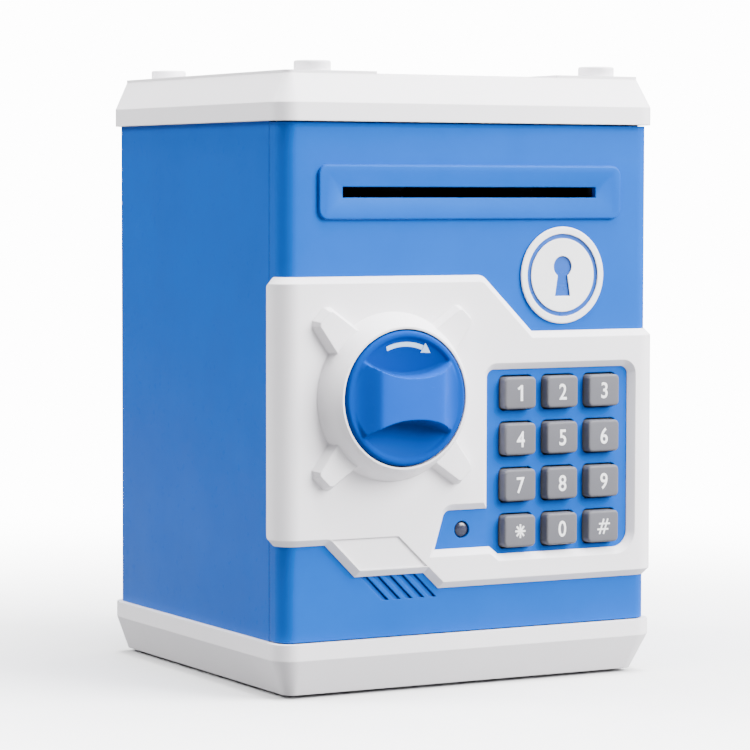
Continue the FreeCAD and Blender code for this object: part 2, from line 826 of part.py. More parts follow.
def make_funnel(body, bezel_face):
    """The sloped lead-in of the slot, between a wide rectangle at the bezel's face and one round the slot."""
    funnel = body.newObject("PartDesign::SubtractiveLoft", "slot_funnel")
    half_w, half_h = P.funnel_width / 2, P.funnel_height / 2
    outer = new_sketch(body, "front", bezel_face)
    rectangle(-half_w, P.slot_z - half_h, half_w, P.slot_z + half_h)(outer)
    inner_w, inner_h = P.slot_width / 2 + 0.2, P.slot_height / 2 + 0.2
    inner = new_sketch(body, "front", bezel_face + P.funnel_depth)
    rectangle(-inner_w, P.slot_z - inner_h, inner_w, P.slot_z + inner_h)(inner)
    funnel.Profile = outer
    funnel.Sections = [inner]
    funnel.Ruled = True


def on_skin(face):
    """True for the outermost faces of the front cover: its front, its two sides and the round corners."""
    surface = face.Surface
    if surface.TypeId == "Part::GeomCylinder":
        return abs(surface.Radius - (P.corner_radius + P.cover_thick).value) < 0.01
    middle = face.CenterOfMass
    side = (HALF_WIDTH + P.cover_thick).value
    flat_front = face.BoundBox.YLength < 0.01 and abs(middle.y - COVER_Y.value) < 0.01
    flat_side = face.BoundBox.XLength < 0.01 and abs(abs(middle.x) - side) < 0.01
    return flat_front or flat_side


def skin_edges(feature):
    """Names of the edges where the outer skin of a feature ends."""
    doc.recompute()
    shape = feature.Shape
    counts = {}
    for face in shape.Faces:
        if not on_skin(face):
            continue
        for edge in face.Edges:
            for number, other in enumerate(shape.Edges, start=1):
                if other.isSame(edge):
                    counts[number] = counts.get(number, 0) + 1
    return [f"Edge{number}" for number, times in sorted(counts.items()) if times == 1]


def make_cover_blank(body):
    """The cover's plate: a shell round the door's two corners, cut to the stepped outline and the window."""
    wide = P.body_width + 2 * P.cover_thick
    deep = P.body_depth + 2 * P.cover_thick
    reach = HALF_WIDTH + 10
    skin = rounded(wide, deep, P.corner_radius + P.cover_thick)
    add(body, "top", P.cover_bottom, P.cover_top, skin)
    inside = rounded(P.body_width, P.body_depth, P.corner_radius)
    cut(body, "top", P.cover_bottom, P.cover_top, inside)
    behind = rectangle(-reach, P.cover_left_end, reach, HALF_DEPTH + 10)
    cut(body, "top", P.cover_bottom, P.cover_top, behind)
    right_end = rectangle(HALF_WIDTH - 2, P.cover_right_end, reach, HALF_DEPTH)
    cut(body, "top", P.cover_bottom, P.cover_top, right_end)
    upper = [
        (P.cover_step_x, P.cover_top + 5),
        (P.cover_step_x, P.cover_top),
        (P.cover_shoulder_x, P.cover_shoulder_z),
        (reach, P.cover_shoulder_z),
        (reach, P.cover_top + 5),
    ]
    cut(body, "front", COVER_Y - 5, P.seam_y + 5, outline(upper))
    lower = [
        (-reach, P.cover_bottom - 5),
        (P.cover_tip_x, P.cover_bottom - 5),
        (P.cover_tip_x, P.cover_bottom),
        (P.cover_mid_x, P.cover_mid_z),
        (P.cover_tab_x, P.cover_mid_z),
        (P.cover_left_x, P.cover_left_z),
        (-reach, P.cover_left_z),
    ]
    cut(body, "front", COVER_Y - 5, P.seam_y + 5, outline(lower))
    lean = P.pocket_left_high - P.pocket_left_low
    window = [
        (P.window_left, P.window_top),
        (P.window_left, P.pocket_high),
        (P.pocket_left_high, P.pocket_high),
        (P.pocket_left_high - lean, P.pocket_low),
        (P.window_left + 1, P.pocket_low),
        (P.window_left + 4, P.window_bottom),
        (P.window_right, P.window_bottom),
        (P.window_right, P.window_top),
    ]
    blank = cut(body, "front", COVER_Y - 5, FACE_Y + 1, outline(window))
    return blank


def round_cover_corners(body, blank):
    """Rounds the corners of the cover's outline and of its window, then bevels the outer skin."""

    def outline_corner(edge):
        top_step = near(edge, x=P.cover_step_x, z=P.cover_top)
        return along_axis(edge, 1) and top_step

    def left_low_corner(edge):
        return along_axis(edge, 1) and near(edge, x=P.cover_left_x, z=P.cover_left_z)

    def wrap_corner(edge):
        behind = near(edge, y=P.cover_left_end)
        return along_axis(edge, 0) and behind and edge.BoundBox.XMax < 0

    def window_corner(edge):
        left = near(edge, x=P.window_left, z=P.window_top)
        right = near(edge, x=P.window_right, z=P.window_top)
        pocket = near(edge, x=P.pocket_left_high, z=P.pocket_high)
        return along_axis(edge, 1) and (left or right or pocket)

    def window_low_corner(edge):
        return along_axis(edge, 1) and near(edge, x=P.window_right, z=P.window_bottom)

    feature = dress(body, "Fillet", blank, outline_corner, 4.5)
    feature = dress(body, "Fillet", feature, left_low_corner, 0.8)
    feature = dress(body, "Fillet", feature, wrap_corner, 3.4)
    feature = dress(body, "Fillet", feature, window_corner, P.window_corner)
    feature = dress(body, "Fillet", feature, window_low_corner, P.window_low_corner)
    bevel = body.newObject("PartDesign::Chamfer", "cover_bevel")
    bevel.Base = (feature, skin_edges(feature))
    bind(bevel, "Size", P.cover_bevel)
    return bevel


def make_collar(body):
    """The cone that carries the knob and the four sloped lugs round it, each narrower at its outer end."""
    base_y = COVER_Y + 0.6
    crown = COVER_Y - P.collar_height
    profile = [
        (P.knob_hub_radius + 1, base_y),
        (P.collar_radius, base_y),
        (P.collar_radius, COVER_Y),
        (P.collar_radius - 0.5, COVER_Y - 1.4),
        (P.collar_top_radius + 1.0, crown + 1.2),
        (P.collar_top_radius, crown),
        (P.knob_hub_radius + 1, crown),
    ]
    reach, root, end, nip = P.lug_reach, P.lug_root / 2, P.lug_end / 2, P.lug_corner
    side = end + nip * 0.17
    slant = 0.7071
    for turn_x, turn_z in ((1, 1), (-1, 1), (-1, -1), (1, -1)):
        along = (turn_x * slant, turn_z * slant)
        aside = (-turn_z * slant, turn_x * slant)
        marks = [(15.0, root), (reach - nip, side), (reach, end - nip)]
        marks += [(reach, nip - end), (reach - nip, -side), (15.0, -root)]
        corners = []
        for far, wide in marks:
            far, wide = size_of(far), size_of(wide)
            across = P.knob_x + far * along[0] + wide * aside[0]
            corners.append((across, P.knob_z + far * along[1] + wide * aside[1]))
        top = COVER_Y - P.lug_height
        add(body, "front", top, COVER_Y + 0.4, outline(corners), taper=24)
    turn(body, "top", P.knob_z, (P.knob_x, 0), outline(profile))
    well = disc(P.knob_x, P.knob_z, P.collar_bore)
    cut(body, "front", crown - 1, COVER_Y, well)
    hole = disc(P.knob_x, P.knob_z, P.knob_hub_radius + 0.4)
    cut(body, "front", COVER_Y - 1, FACE_Y + 1, hole)


def make_front_cover():
    """The white cover plate with its collar, lugs, keypad window and the shallow panel at its lower left."""
    body = new_body("front_cover")
    blank = make_cover_blank(body)
    round_cover_corners(body, blank)
    make_collar(body)
    panel = [
        (-48.7, 47.3),
        (-26.2, 47.3),
        (-16.4, 37.9),
        (-39.3, 37.9),
    ]
    cut(body, "front", COVER_Y - 1, COVER_Y + P.tab_depth, outline(panel))
    keep("front_cover", body)


def make_badge():
    """A plain round badge with a ring groove and a keyhole."""
    body = new_body("badge")
    front = FACE_Y - P.badge_thick
    disc_pad = add(body, "front", front, FACE_Y, disc(P.badge_x, P.badge_z, P.badge_radius))
    dress(body, "Chamfer", disc_pad, lambda edge: flat_at(edge, 1, front), 0.3)
    ring_out = disc(P.badge_x, P.badge_z, P.badge_radius - 2.2)
    cut(body, "front", front - 1, front + 0.5, ring_out)
    island = disc(P.badge_x, P.badge_z, P.badge_radius - 3.6)
    add(body, "front", front + 0.1, front + 0.6, island)
    eye = disc(P.badge_x, P.badge_z + 2.6, 3.2)
    cut(body, "front", front - 1, front + 0.6, eye)
    stem = [
        (P.badge_x - 1.5, P.badge_z + 1.5),
        (P.badge_x + 1.5, P.badge_z + 1.5),
        (P.badge_x + 2.7, P.badge_z - 6.4),
        (P.badge_x - 2.7, P.badge_z - 6.4),
    ]
    cut(body, "front", front - 1, front + 0.6, outline(stem))
    keep("badge", body)


def make_hinge_pins():
    """Two steel pins pressed into the door's knuckle."""
    body = new_body("hinge_pins")
    spot = disc(HINGE_X, HINGE_Y, P.hinge_pin_radius)
    add(body, "top", DOOR_LOW - P.hinge_pin_reach, DOOR_LOW + P.hinge_pin_grip, spot)
    add(body, "top", DOOR_HIGH - P.hinge_pin_grip, DOOR_HIGH + P.hinge_pin_reach, spot)
    keep("hinge_pins", body)


def make_door_back_cover():
    """The inner cover: a flange behind the door's edge walls, a box, the note exit and the battery bay."""
    body = new_body("door_back_cover")
    inset = 0.2
    left = -HALF_WIDTH + P.wall + inset
    right = HALF_WIDTH - P.flange - inset
    low = DOOR_LOW + P.wall + inset
    high = DOOR_HIGH - P.wall - inset
    flange_back = DOOR_BACK
    add(body, "front", flange_back - 1.3, flange_back, rectangle(left, low, right, high))
    case = rectangle(P.housing_left, P.housing_low, P.housing_right, P.housing_high)
    add(body, "front", flange_back - 1.3, P.housing_back, case)
    skin = P.housing_wall
    hollow = rectangle(
        P.housing_left + skin, P.housing_low + skin, P.housing_right - skin, P.housing_high - skin
    )
    cut(body, "front", flange_back - 2, P.housing_back - skin, hollow)
    bay_skin = 1.5
    bay_block = rectangle(
        P.bay_left - bay_skin, P.bay_low - bay_skin, P.bay_right + bay_skin, P.bay_high + bay_skin
    )
    add(body, "front", P.bay_floor - bay_skin, P.housing_back - skin, bay_block)
    bay = rectangle(P.bay_left, P.bay_low, P.bay_right, P.bay_high)
    cut(body, "front", P.bay_floor, P.housing_back, bay, upward=True)
    cut(body, "front", P.housing_back - 1.5, P.housing_back + 1, lid_outline(0.2), upward=True)
    add(body, "front", P.housing_back - 12, P.housing_back - skin + 0.2, disc(*LID_SCREW, 2.8))
    screw_hole = disc(*LID_SCREW, P.pilot_radius + 0.1)
    cut(body, "front", P.housing_back - 11, P.housing_back + 1, screw_hole, upward=True)
    exit_half = P.slot_width / 2 + 2
    note_exit = rectangle(-exit_half, P.slot_z - 3.5, exit_half, P.slot_z + 3.5)
    cut(body, "front", P.housing_back - skin - 1, P.housing_back, note_exit)
    cut(body, "front", P.housing_back - skin - 1, P.housing_back, discs(DOOR_POSTS, P.pilot_radius + 0.3))
    cut(body, "front", P.housing_back - skin - 1, P.housing_back, disc(*RESET_SPOT, 2.5))
    switch_x, switch_z = SWITCH_SPOT
    window = rectangle(switch_x - 3.2, switch_z - 1.8, switch_x + 3.2, switch_z + 1.8)
    cut(body, "front", P.housing_back - skin - 1, P.housing_back, window)
    mouth = rectangle(P.pinion_front - 0.3, BOLT_LOW - 0.3, P.pinion_back + 0.3, BOLT_HIGH + 0.3)
    cut(body, "side", P.housing_left - 1, P.housing_left + skin + 0.5, mouth)
    add(body, "front", P.board_y + 1.6, P.housing_back - skin + 0.2, discs(CONTROL_POSTS, 1.5))
    keep("door_back_cover", body)


def lid_outline(grow):
    """Draws the battery lid with its screw ear, larger by grow on every side."""
    screw_x, screw_z = LID_SCREW
    left, right = P.bay_left - 1.0 - grow, P.bay_right + 1.0 + grow
    low, high = P.bay_low - 1.0 - grow, P.bay_high + 1.0 + grow
    ear_left, ear_right = screw_x - 4 - grow, screw_x + 4 + grow
    ear_top = screw_z + 3.6 + grow
    corners = [
        (left, low),
        (right, low),
        (right, high),
        (ear_right, high),
        (ear_right, ear_top),
        (ear_left, ear_top),
        (ear_left, high),
        (left, high),
    ]
    return outline(corners)


def make_door_screws():
    """Four screws from the inner cover into the door's long posts."""
    body = new_body("door_screws")
    back = P.housing_back
    add(body, "front", back - 13, back, discs(DOOR_POSTS, P.pilot_radius))
    add(body, "front", back, back + 1.4, discs(DOOR_POSTS, 2.6))
    cut(body, "front", back + 0.5, back + 1.4, crosses(DOOR_POSTS), upward=True)
    keep("door_screws", body)


# ---------------------------------------------------------------- keypad and lamp


def make_key(index, name):
    """One key: a rounded cap, a thin lip that keeps it in its hole, and a hollow for the rubber dome."""
    label = f"key_{name}"
    body = new_body(label)
    across, along = key_place(index)
    front = FACE_Y - P.key_proud
    lip_back = PLATE_BACK + 1.1
    cap = add(
        body, "front", front, lip_back, rounded(P.key_width, P.key_height, P.key_corner, across, along)
    )
    dress(body, "Fillet", cap, lambda edge: flat_at(edge, 1, front), 0.7)
    grow = 2 * (P.key_gap + P.key_lip)
    lip = rounded(P.key_width + grow, P.key_height + grow, P.key_corner, across, along)
    add(body, "front", PLATE_BACK + 0.05, lip_back, lip)
    cut(body, "front", lip_back - 1.6, lip_back, disc(across, along, 3.4), upward=True)
    keep(label, body)


def make_keypad_membrane():
    """The rubber mat with one dome under each key."""
    body = new_body("keypad_membrane")
    front = PLATE_BACK + 2.5
    board_front = PLATE_BACK + 3.4
    sheet_draw = rectangle(P.window_left + 1.4, 40.0, P.window_right - 0.8, 95.6)
    add(body, "front", front, board_front, sheet_draw)
    places = [key_place(index) for index in range(KEY_COLUMNS * KEY_ROWS)]
    add(body, "front", front - 1.0, front + 0.2, discs(places, 2.7))
    add(body, "front", front - 1.7, front - 0.9, discs(places, 2.0))
    keep("keypad_membrane", body)


def make_keypad_board():
    """The circuit board behind the mat."""
    body = new_body("keypad_board")
    front = PLATE_BACK + 3.4
    plate = rectangle(P.window_left + 0.6, 35.4, P.window_right - 0.2, 100.2)
    add(body, "front", front, front + 1.6, plate)
    cut(body, "front", front, front + 1.6, discs(KEYPAD_POSTS, 1.2))
    keep("keypad_board", body)


def make_board_screws():
    """Four small screws of the keypad board."""
    body = new_body("board_screws")
    front = PLATE_BACK + 3.4
    add(body, "front", front - 2.8, front + 1.6, discs(KEYPAD_POSTS, 0.9))
    add(body, "front", front + 1.6, front + 2.6, discs(KEYPAD_POSTS, 1.8))
    cut(body, "front", front + 1.9, front + 2.6, crosses(KEYPAD_POSTS, 0.9, 0.22), upward=True)
    keep("board_screws", body)


def make_led():
    """The status lamp: a lens flush with the door, with a flange and two leads."""
    body = new_body("led")
    tip = FACE_Y - 0.1
    profile = [
        (0, PLATE_BACK + 1.0),
        (0, tip),
        (1.4, tip + 0.12),
        (2.1, tip + 0.4),
        (P.led_radius, tip + 1.0),
        (P.led_radius, PLATE_BACK),
        (2.95, PLATE_BACK),
        (2.95, PLATE_BACK + 1.0),
    ]
    turn(body, "top", P.led_z, (P.led_x, 0), outline(profile))
    leads = [(P.led_x - 1.27, P.led_z), (P.led_x + 1.27, P.led_z)]
    add(body, "front", PLATE_BACK + 0.9, PLATE_BACK + 7, discs(leads, 0.3))
    keep("led", body)


# ---------------------------------------------------------------- knob, latch and lock


def arc_between(centre, start, end):
    """An arc round a centre from one point to another, turning the positive way."""
    first = math.atan2(start.y - centre.y, start.x - centre.x)
    last = math.atan2(end.y - centre.y, end.x - centre.x)
    if last < first:
        last += 2 * math.pi
    circle = Part.Circle(centre, Vector(0, 0, 1), start.distanceToPoint(centre))
    return Part.ArcOfCircle(circle, first, last)


def crescent(side):
    """Draws the scoop above (1) or below (-1) the grip: the rim's arc and the waisted edge of the grip."""

    def draw(sketch):
        end_x, rise = P.grip_end_x, P.grip_end_z - P.grip_waist
        bend = (end_x * end_x + rise * rise) / (2 * rise)
        left_x, right_x = P.knob_x - end_x, P.knob_x + end_x
        end_z = P.knob_z + side * P.grip_end_z
        waist_z = P.knob_z + side * (P.grip_waist + bend)
        hub = Vector(P.knob_x.value, P.knob_z.value, 0)
        above = Vector(P.knob_x.value, waist_z.value, 0)
        left = Vector(left_x.value, end_z.value, 0)
        right = Vector(right_x.value, end_z.value, 0)
        near_end, far_end = (left, right) if side > 0 else (right, left)
        sketch.addGeometry(arc_between(above, near_end, far_end), False)
        sketch.addGeometry(arc_between(hub, far_end, near_end), False)
        sketch.addConstraint(Rule("Coincident", 0, 2, 1, 1))
        sketch.addConstraint(Rule("Coincident", 1, 2, 0, 1))
        near_x = left_x if side > 0 else right_x
        far_x = right_x if side > 0 else left_x
        rule(sketch, "hub_x", P.knob_x, "DistanceX", -1, 1, 1, 3)
        rule(sketch, "hub_z", P.knob_z, "DistanceY", -1, 1, 1, 3)
        rule(sketch, "near_x", near_x, "DistanceX", -1, 1, 0, 1)
        rule(sketch, "near_z", end_z, "DistanceY", -1, 1, 0, 1)
        rule(sketch, "far_x", far_x, "DistanceX", -1, 1, 0, 2)
        rule(sketch, "bend", bend, "Radius", 0)

    return draw


def make_knob():
    """The turn knob: a rimmed disc with a raised waisted grip, a hub through the door and a rear hollow."""
    body = new_body("knob")
    rim_in = P.knob_radius - P.knob_rim_width
    crest, rim = -P.knob_crest, -P.knob_rim
    profile = [
        (0, -P.knob_hub_end),
        (0, crest),
        (P.knob_crest_radius, crest),
        (P.knob_crest_radius + 2.6, crest + 1.0),
        (P.knob_crest_radius + 6.0, rim - 0.6),
        (rim_in, rim + 0.2),
        (rim_in + 0.2, rim),
        (P.knob_radius - 0.5, rim),
        (P.knob_radius, rim + 0.5),
        (P.knob_radius, -P.knob_back),
        (P.knob_radius - 2.0, -P.knob_back),
        (P.knob_radius - 2.0, -P.knob_floor + 1.8),
        (P.knob_hub_radius, -P.knob_floor + 1.8),
        (P.knob_hub_radius, -P.knob_hub_end),
    ]
    turn(body, "top", P.knob_z, (P.knob_x, 0), outline(profile))
    for side in (1, -1):
        cut(body, "front", crest - 1, -P.knob_floor, crescent(side))
    spigot = disc(P.knob_x, P.knob_z, 2.5)
    cut(body, "front", -P.knob_hub_end - 5.4, -P.knob_hub_end, spigot, upward=True)
    cut(body, "front", -P.knob_hub_end - 12, -P.knob_hub_end, disc(P.knob_x, P.knob_z, 1.1), upward=True)
    keep("knob", body)


PRESSURE_ANGLE = math.radians(25)
ADDENDUM = 0.85
DEDENDUM = 1.1
THINNING = 0.07


def involute(base, radius):
    """Polar angle of the involute of a base circle where it crosses a radius."""
    ratio = max(base / radius, -1.0)
    if ratio >= 1:
        return 0.0
    angle = math.acos(ratio)
    return math.tan(angle) - angle


def gear_face(module, teeth):
    """A flat spur gear about the origin in the XY plane, with one tooth centred on +Y."""
    pitch = module * teeth / 2
    base = pitch * math.cos(PRESSURE_ANGLE)
    tip = pitch + ADDENDUM * module
    root = pitch - DEDENDUM * module
    half_tooth = math.pi / (2 * teeth) - THINNING / pitch + involute(base, pitch)
    steps = 5
    start = max(root, base)
    flank = [start + (tip - start) * step / (steps - 1) for step in range(steps)]
    points = []
    for tooth in range(teeth):
        middle = math.pi / 2 + tooth * 2 * math.pi / teeth
        right = [(radius, middle - half_tooth + involute(base, radius)) for radius in flank]
        left = [(radius, 2 * middle - angle) for radius, angle in reversed(right)]
        foot = [(root, right[0][1])] if root < start else []
        foot_end = [(root, left[-1][1])] if root < start else []
        points += foot + right + left + foot_end
    corners = [Vector(radius * math.cos(angle), radius * math.sin(angle), 0) for radius, angle in points]
    return Part.Face(Part.makePolygon(corners + corners[:1]))


def gear_solid(module, teeth, width):
    """A spur gear of a given width, standing on the XY plane."""
    return gear_face(module, teeth).extrude(Vector(0, 0, width))


def shaped(label, shape, rotation, spot):
    """A Part feature with its shape first and then its place, tied to the formulas of a spot."""
    item = doc.addObject("Part::Feature", label)
    item.Shape = shape
    item.Placement = FreeCAD.Placement(Vector(0, 0, 0), rotation)
    for letter, size in zip("xyz", spot):
        bind(item, f"Placement.Base.{letter}", size)
    return item


def make_bolt_pinion():
    """The pinion on the knob's shaft: a collar behind the door plate, a stem, teeth and a spigot."""
    spot = (P.knob_x, P.knob_z)
    hub_end = -P.knob_hub_end
    width = (P.pinion_back - P.pinion_front).value
    teeth = gear_solid(P.pinion_module.value, int(P.pinion_teeth.value), width)
    lying = FreeCAD.Rotation(Vector(1, 0, 0), 90)
    wheel = shaped("pinion_wheel", teeth, lying, (P.knob_x, P.pinion_back, P.knob_z))
    stem = cylinder("pinion_stem", 2.6, hub_end, P.pinion_front, "Y", spot)
    collar = cylinder("pinion_collar", 8.5, hub_end, hub_end + 2, "Y", spot)
    spigot = cylinder("pinion_spigot", 2.5, hub_end - 5, hub_end + 1, "Y", spot)
    whole = fuse("pinion_blank", [wheel, stem, collar, spigot])
    bore = cylinder("pinion_bore", 1.3, hub_end - 6, P.pinion_back + 1, "Y", spot)
    keep("bolt_pinion", remove("bolt_pinion", whole, bore))


def make_knob_screw():
    """The screw that holds the pinion to the knob."""
    body = new_body("knob_screw")
    back = P.pinion_back
    hub_end = -P.knob_hub_end
    spot = [(P.knob_x, P.knob_z)]
    add(body, "front", hub_end - 11, back, discs(spot, 1.1))
    add(body, "front", back, back + 1.6, discs(spot, 2.4))
    cut(body, "front", back + 0.7, back + 1.6, crosses(spot), upward=True)
    keep("knob_screw", body)


def rack_outline():
    """Corners of the bolt's rack in the front view, with a gap centred over the pinion."""
    pitch = math.pi * P.pinion_module.value
    lean = math.tan(PRESSURE_ANGLE)
    tip_drop = ADDENDUM * P.pinion_module.value
    root_rise = DEDENDUM * P.pinion_module.value
    half = pitch / 4 - THINNING
    corners = []
    for number in range(-2, 5):
        middle = P.knob_x + (number + 0.5) * pitch
        corners.append((middle - half - root_rise * lean, RACK_Z + root_rise))
        corners.append((middle - half + tip_drop * lean, RACK_Z - tip_drop))
        corners.append((middle + half - tip_drop * lean, RACK_Z - tip_drop))
        corners.append((middle + half + root_rise * lean, RACK_Z + root_rise))
    return corners


def make_latch_bolt():
    """The sliding bolt: a bar with a rack below, a bevelled tip and two notches for the lock plunger."""
    body = new_body("latch_bolt")
    low, high = BOLT_LOW, BOLT_HIGH
    bar = rectangle(P.bolt_tip_x, low, P.bolt_end_x, high)
    add(body, "front", P.pinion_front, P.pinion_back, bar)
    teeth = rack_outline()
    closing = [(teeth[-1][0], low + 1), (teeth[0][0], low + 1)]
    add(body, "front", P.pinion_front, P.pinion_back, outline(teeth + closing))
    for centre in (P.plunger_x, P.plunger_x + P.bolt_throw):
        half = P.plunger_radius + 0.25
        notch = rectangle(centre - half, high - 3.4, centre + half, high + 1)
        cut(body, "front", P.pinion_front - 1, P.pinion_back + 1, notch)
    keep("latch_bolt", body)


def make_bolt_guide():
    """The guide that keeps the bolt straight: a rear strip with lips above, below and in front of the bar."""
    body = new_body("bolt_guide")
    back = P.pinion_back + 0.3
    low, high = BOLT_LOW - 0.3, BOLT_HIGH + 0.3
    add(body, "front", back, back + 1.5, rectangle(-50.5, low - 0.2, -16.5, high + 3))
    for left, right in ((-50.5, -46.5), (-20.5, -17.5)):
        add(body, "front", P.pinion_front - 0.3, back + 0.2, rectangle(left, high, right, high + 1.6))
        loop = rectangle(left, low - 1.5, right, high + 1.6)
        add(body, "front", P.pinion_front - 1.8, P.pinion_front - 0.3, loop)
    add(body, "front", P.pinion_front - 1.8, back + 1.5, rectangle(-50.5, low - 1.5, -46.5, low))
    keep("bolt_guide", body)


def make_lock_solenoid():
    """The electric lock: a steel frame round a coil, with a bore for the plunger."""
    body = new_body("lock_solenoid")
    x = P.plunger_x
    low = BOLT_HIGH + 5.5
    frame = rectangle(x - 8, LOCK_Y - 6.5, x + 8, LOCK_Y + 6.5)
    add(body, "top", low, low + 1.2, frame)
    add(body, "top", low + 1.1, low + 15.9, disc(x, LOCK_Y, 5.2))
    add(body, "top", low + 15.8, low + 17, frame)
    add(body, "top", low, low + 17, rectangle(x - 8, LOCK_Y - 6.5, x + 8, LOCK_Y - 5.3))
    bore = disc(x, LOCK_Y, P.plunger_radius + 0.08)
    cut(body, "top", low, low + 14, bore, upward=True)
    keep("lock_solenoid", body)


def make_lock_plunger():
    """The plunger of the electric lock, drawn up clear of the bolt."""
    tip = BOLT_HIGH + 0.8
    spot = (P.plunger_x, LOCK_Y)
    rod = cylinder("plunger_rod", P.plunger_radius, tip, tip + 14, "Z", spot)
    ring = cylinder("plunger_ring", P.plunger_radius + 0.8, tip + 3.4, tip + 4.4, "Z", spot)
    keep("lock_plunger", fuse("lock_plunger", [rod, ring]))


# ---------------------------------------------------------------- note feeder


def make_feeder_frame():
    """The feeder's frame: two side plates with bearing holes, joined by cross bars."""
    body = new_body("feeder_frame")
    half = P.frame_half
    outer = half + P.frame_plate
    front, back = PLATE_BACK, P.housing_back - P.housing_wall - 1.2
    low, top = 136.6, 159.2
    add(body, "side", -outer, -half, rectangle(front, low, back, top))
    add(body, "side", half, outer, rectangle(front, 100.9, back, top))
    bars = [(front, low), (back - 2.5, low), (back - 2.5, top - 3)]
    for y, z in bars:
        add(body, "side", -half - 0.5, half + 0.5, rectangle(y, z, y + 2.5, z + 3))
    mouth = rectangle(front - 1, P.slot_z - 4.3, P.feed_y - P.roller_radius - 0.5, P.slot_z + 4.3)
    cut(body, "side", -outer - 1, outer + 1, mouth)
    shaft_hole = P.feed_shaft_radius + 0.06
    bearings = [(P.feed_y, LOWER_ROLLER_Z), (P.feed_y, UPPER_ROLLER_Z)]
    cut(body, "side", -outer - 1, outer + 1, discs(bearings, shaft_hole))
    cut(body, "side", half - 1, outer + 1, disc(P.feed_y, MOTOR_Z, 3.2))
    cut(body, "side", half - 1, outer + 1, disc(P.feed_y, IDLER_Z, 1.5))
    keep("feeder_frame", body)


def make_idler_pin():
    """The fixed pin the middle gear turns on."""
    spot = (P.feed_y, IDLER_Z)
    half = P.frame_half
    rod = cylinder("idler_pin_rod", 1.5, half, GEAR_X + P.gear_width + 0.4, "X", spot)
    head = cylinder("idler_pin_head", 2.6, half - 1.0, half, "X", spot)
    keep("idler_pin", fuse("idler_pin", [rod, head]))


def make_bill_guide():
    """The flat channel that leads a note from the slot to the rollers."""
    body = new_body("bill_guide")
    front, back = PLATE_BACK, P.feed_y - P.roller_radius - 0.6
    half = P.slot_width / 2
    outer = rectangle(-half - 2, P.slot_z - 4.2, half + 2, P.slot_z + 4.2)
    add(body, "front", front, back, outer)
    inner = rectangle(-half - 0.4, P.slot_z - 2.2, half + 0.4, P.slot_z + 2.2)
    cut(body, "front", front, back, inner)
    keep("bill_guide", body)


def make_rollers():
    """Two shafts with two rubber rollers each, nearly touching at the height of the slot."""
    half, plate = P.frame_half, P.frame_plate
    spots = {"drive": LOWER_ROLLER_Z, "pinch": UPPER_ROLLER_Z}
    for name, height in spots.items():
        spot = (P.feed_y, height)
        right = GEAR_X + P.gear_width if name == "drive" else half + plate + 0.5
        low = -half - plate - 0.6
        shaft = cylinder(f"{name}_shaft", P.feed_shaft_radius, low, right, "X", spot)
        keep(f"{name}_shaft", shaft)
        rings = []
        for side, left in (("left", -29.0), ("right", 17.0)):
            stock = cylinder(f"{name}_{side}_stock", P.roller_radius, left, left + 12, "X", spot)
            bore = cylinder(f"{name}_{side}_bore", P.feed_shaft_radius, left - 1, left + 13, "X", spot)
            rings.append(remove(f"{name}_{side}_ring", stock, bore))
        keep(f"{name}_rollers", group(f"{name}_rollers", rings))


def feed_gear(label, teeth, height, bore, turned):
    """A gear of the feeder's train, standing outside the right frame plate."""
    width = P.gear_width.value
    shape = gear_solid(P.gear_module.value, teeth, width)
    shape = shape.cut(Part.makeCylinder(bore, width + 2, Vector(0, 0, -1)))
    stand = FreeCAD.Rotation(Vector(1, 1, 1), 120)
    spin = FreeCAD.Rotation(Vector(0, 0, 1), turned)
    keep(label, shaped(label, shape, stand.multiply(spin), (GEAR_X, P.feed_y, height)))


def make_gear_train():
    """Motor pinion, middle gear and roller gear, one above the other, in mesh at rest."""
    motor_teeth, idler_teeth = int(P.motor_teeth.value), int(P.idler_teeth.value)
    half_tooth = 180.0 / idler_teeth
    feed_gear("motor_pinion", motor_teeth, MOTOR_Z, 1.0, 0)
    feed_gear("idler_gear", idler_teeth, IDLER_Z, 1.56, half_tooth)
    feed_gear("drive_gear", int(P.drive_teeth.value), LOWER_ROLLER_Z, P.feed_shaft_radius.value, 0)


def make_motor():
    """The feed motor: a round can with two flats and a bearing nose, and its shaft."""
    body = new_body("feed_motor")
    right = P.frame_half
    left = right - P.motor_length
    can = disc(P.feed_y, MOTOR_Z, P.motor_radius)
    add(body, "side", left, right, can)
    flat, reach = P.motor_flat, P.motor_radius + 2
    for low, high in ((-reach, -flat), (flat, reach)):
        strip = rectangle(P.feed_y + low, MOTOR_Z - reach, P.feed_y + high, MOTOR_Z + reach)
        cut(body, "side", left, right, strip)
    add(body, "side", right - 0.2, right + 1.6, disc(P.feed_y, MOTOR_Z, 3.0))
    cut(body, "side", right - 10, right + 2, disc(P.feed_y, MOTOR_Z, 1.06))
    for offset in (-4.5, 4.5):
        tab = rectangle(P.feed_y + offset - 1, MOTOR_Z - 0.3, P.feed_y + offset + 1, MOTOR_Z + 0.3)
        add(body, "side", left - 3, left + 0.2, tab)
    keep("feed_motor", body)
    spot = (P.feed_y, MOTOR_Z)
    shaft = cylinder("motor_shaft", 1.0, right - 9.5, GEAR_X + P.gear_width, "X", spot)
    keep("motor_shaft", shaft)


# ---------------------------------------------------------------- electronics and power


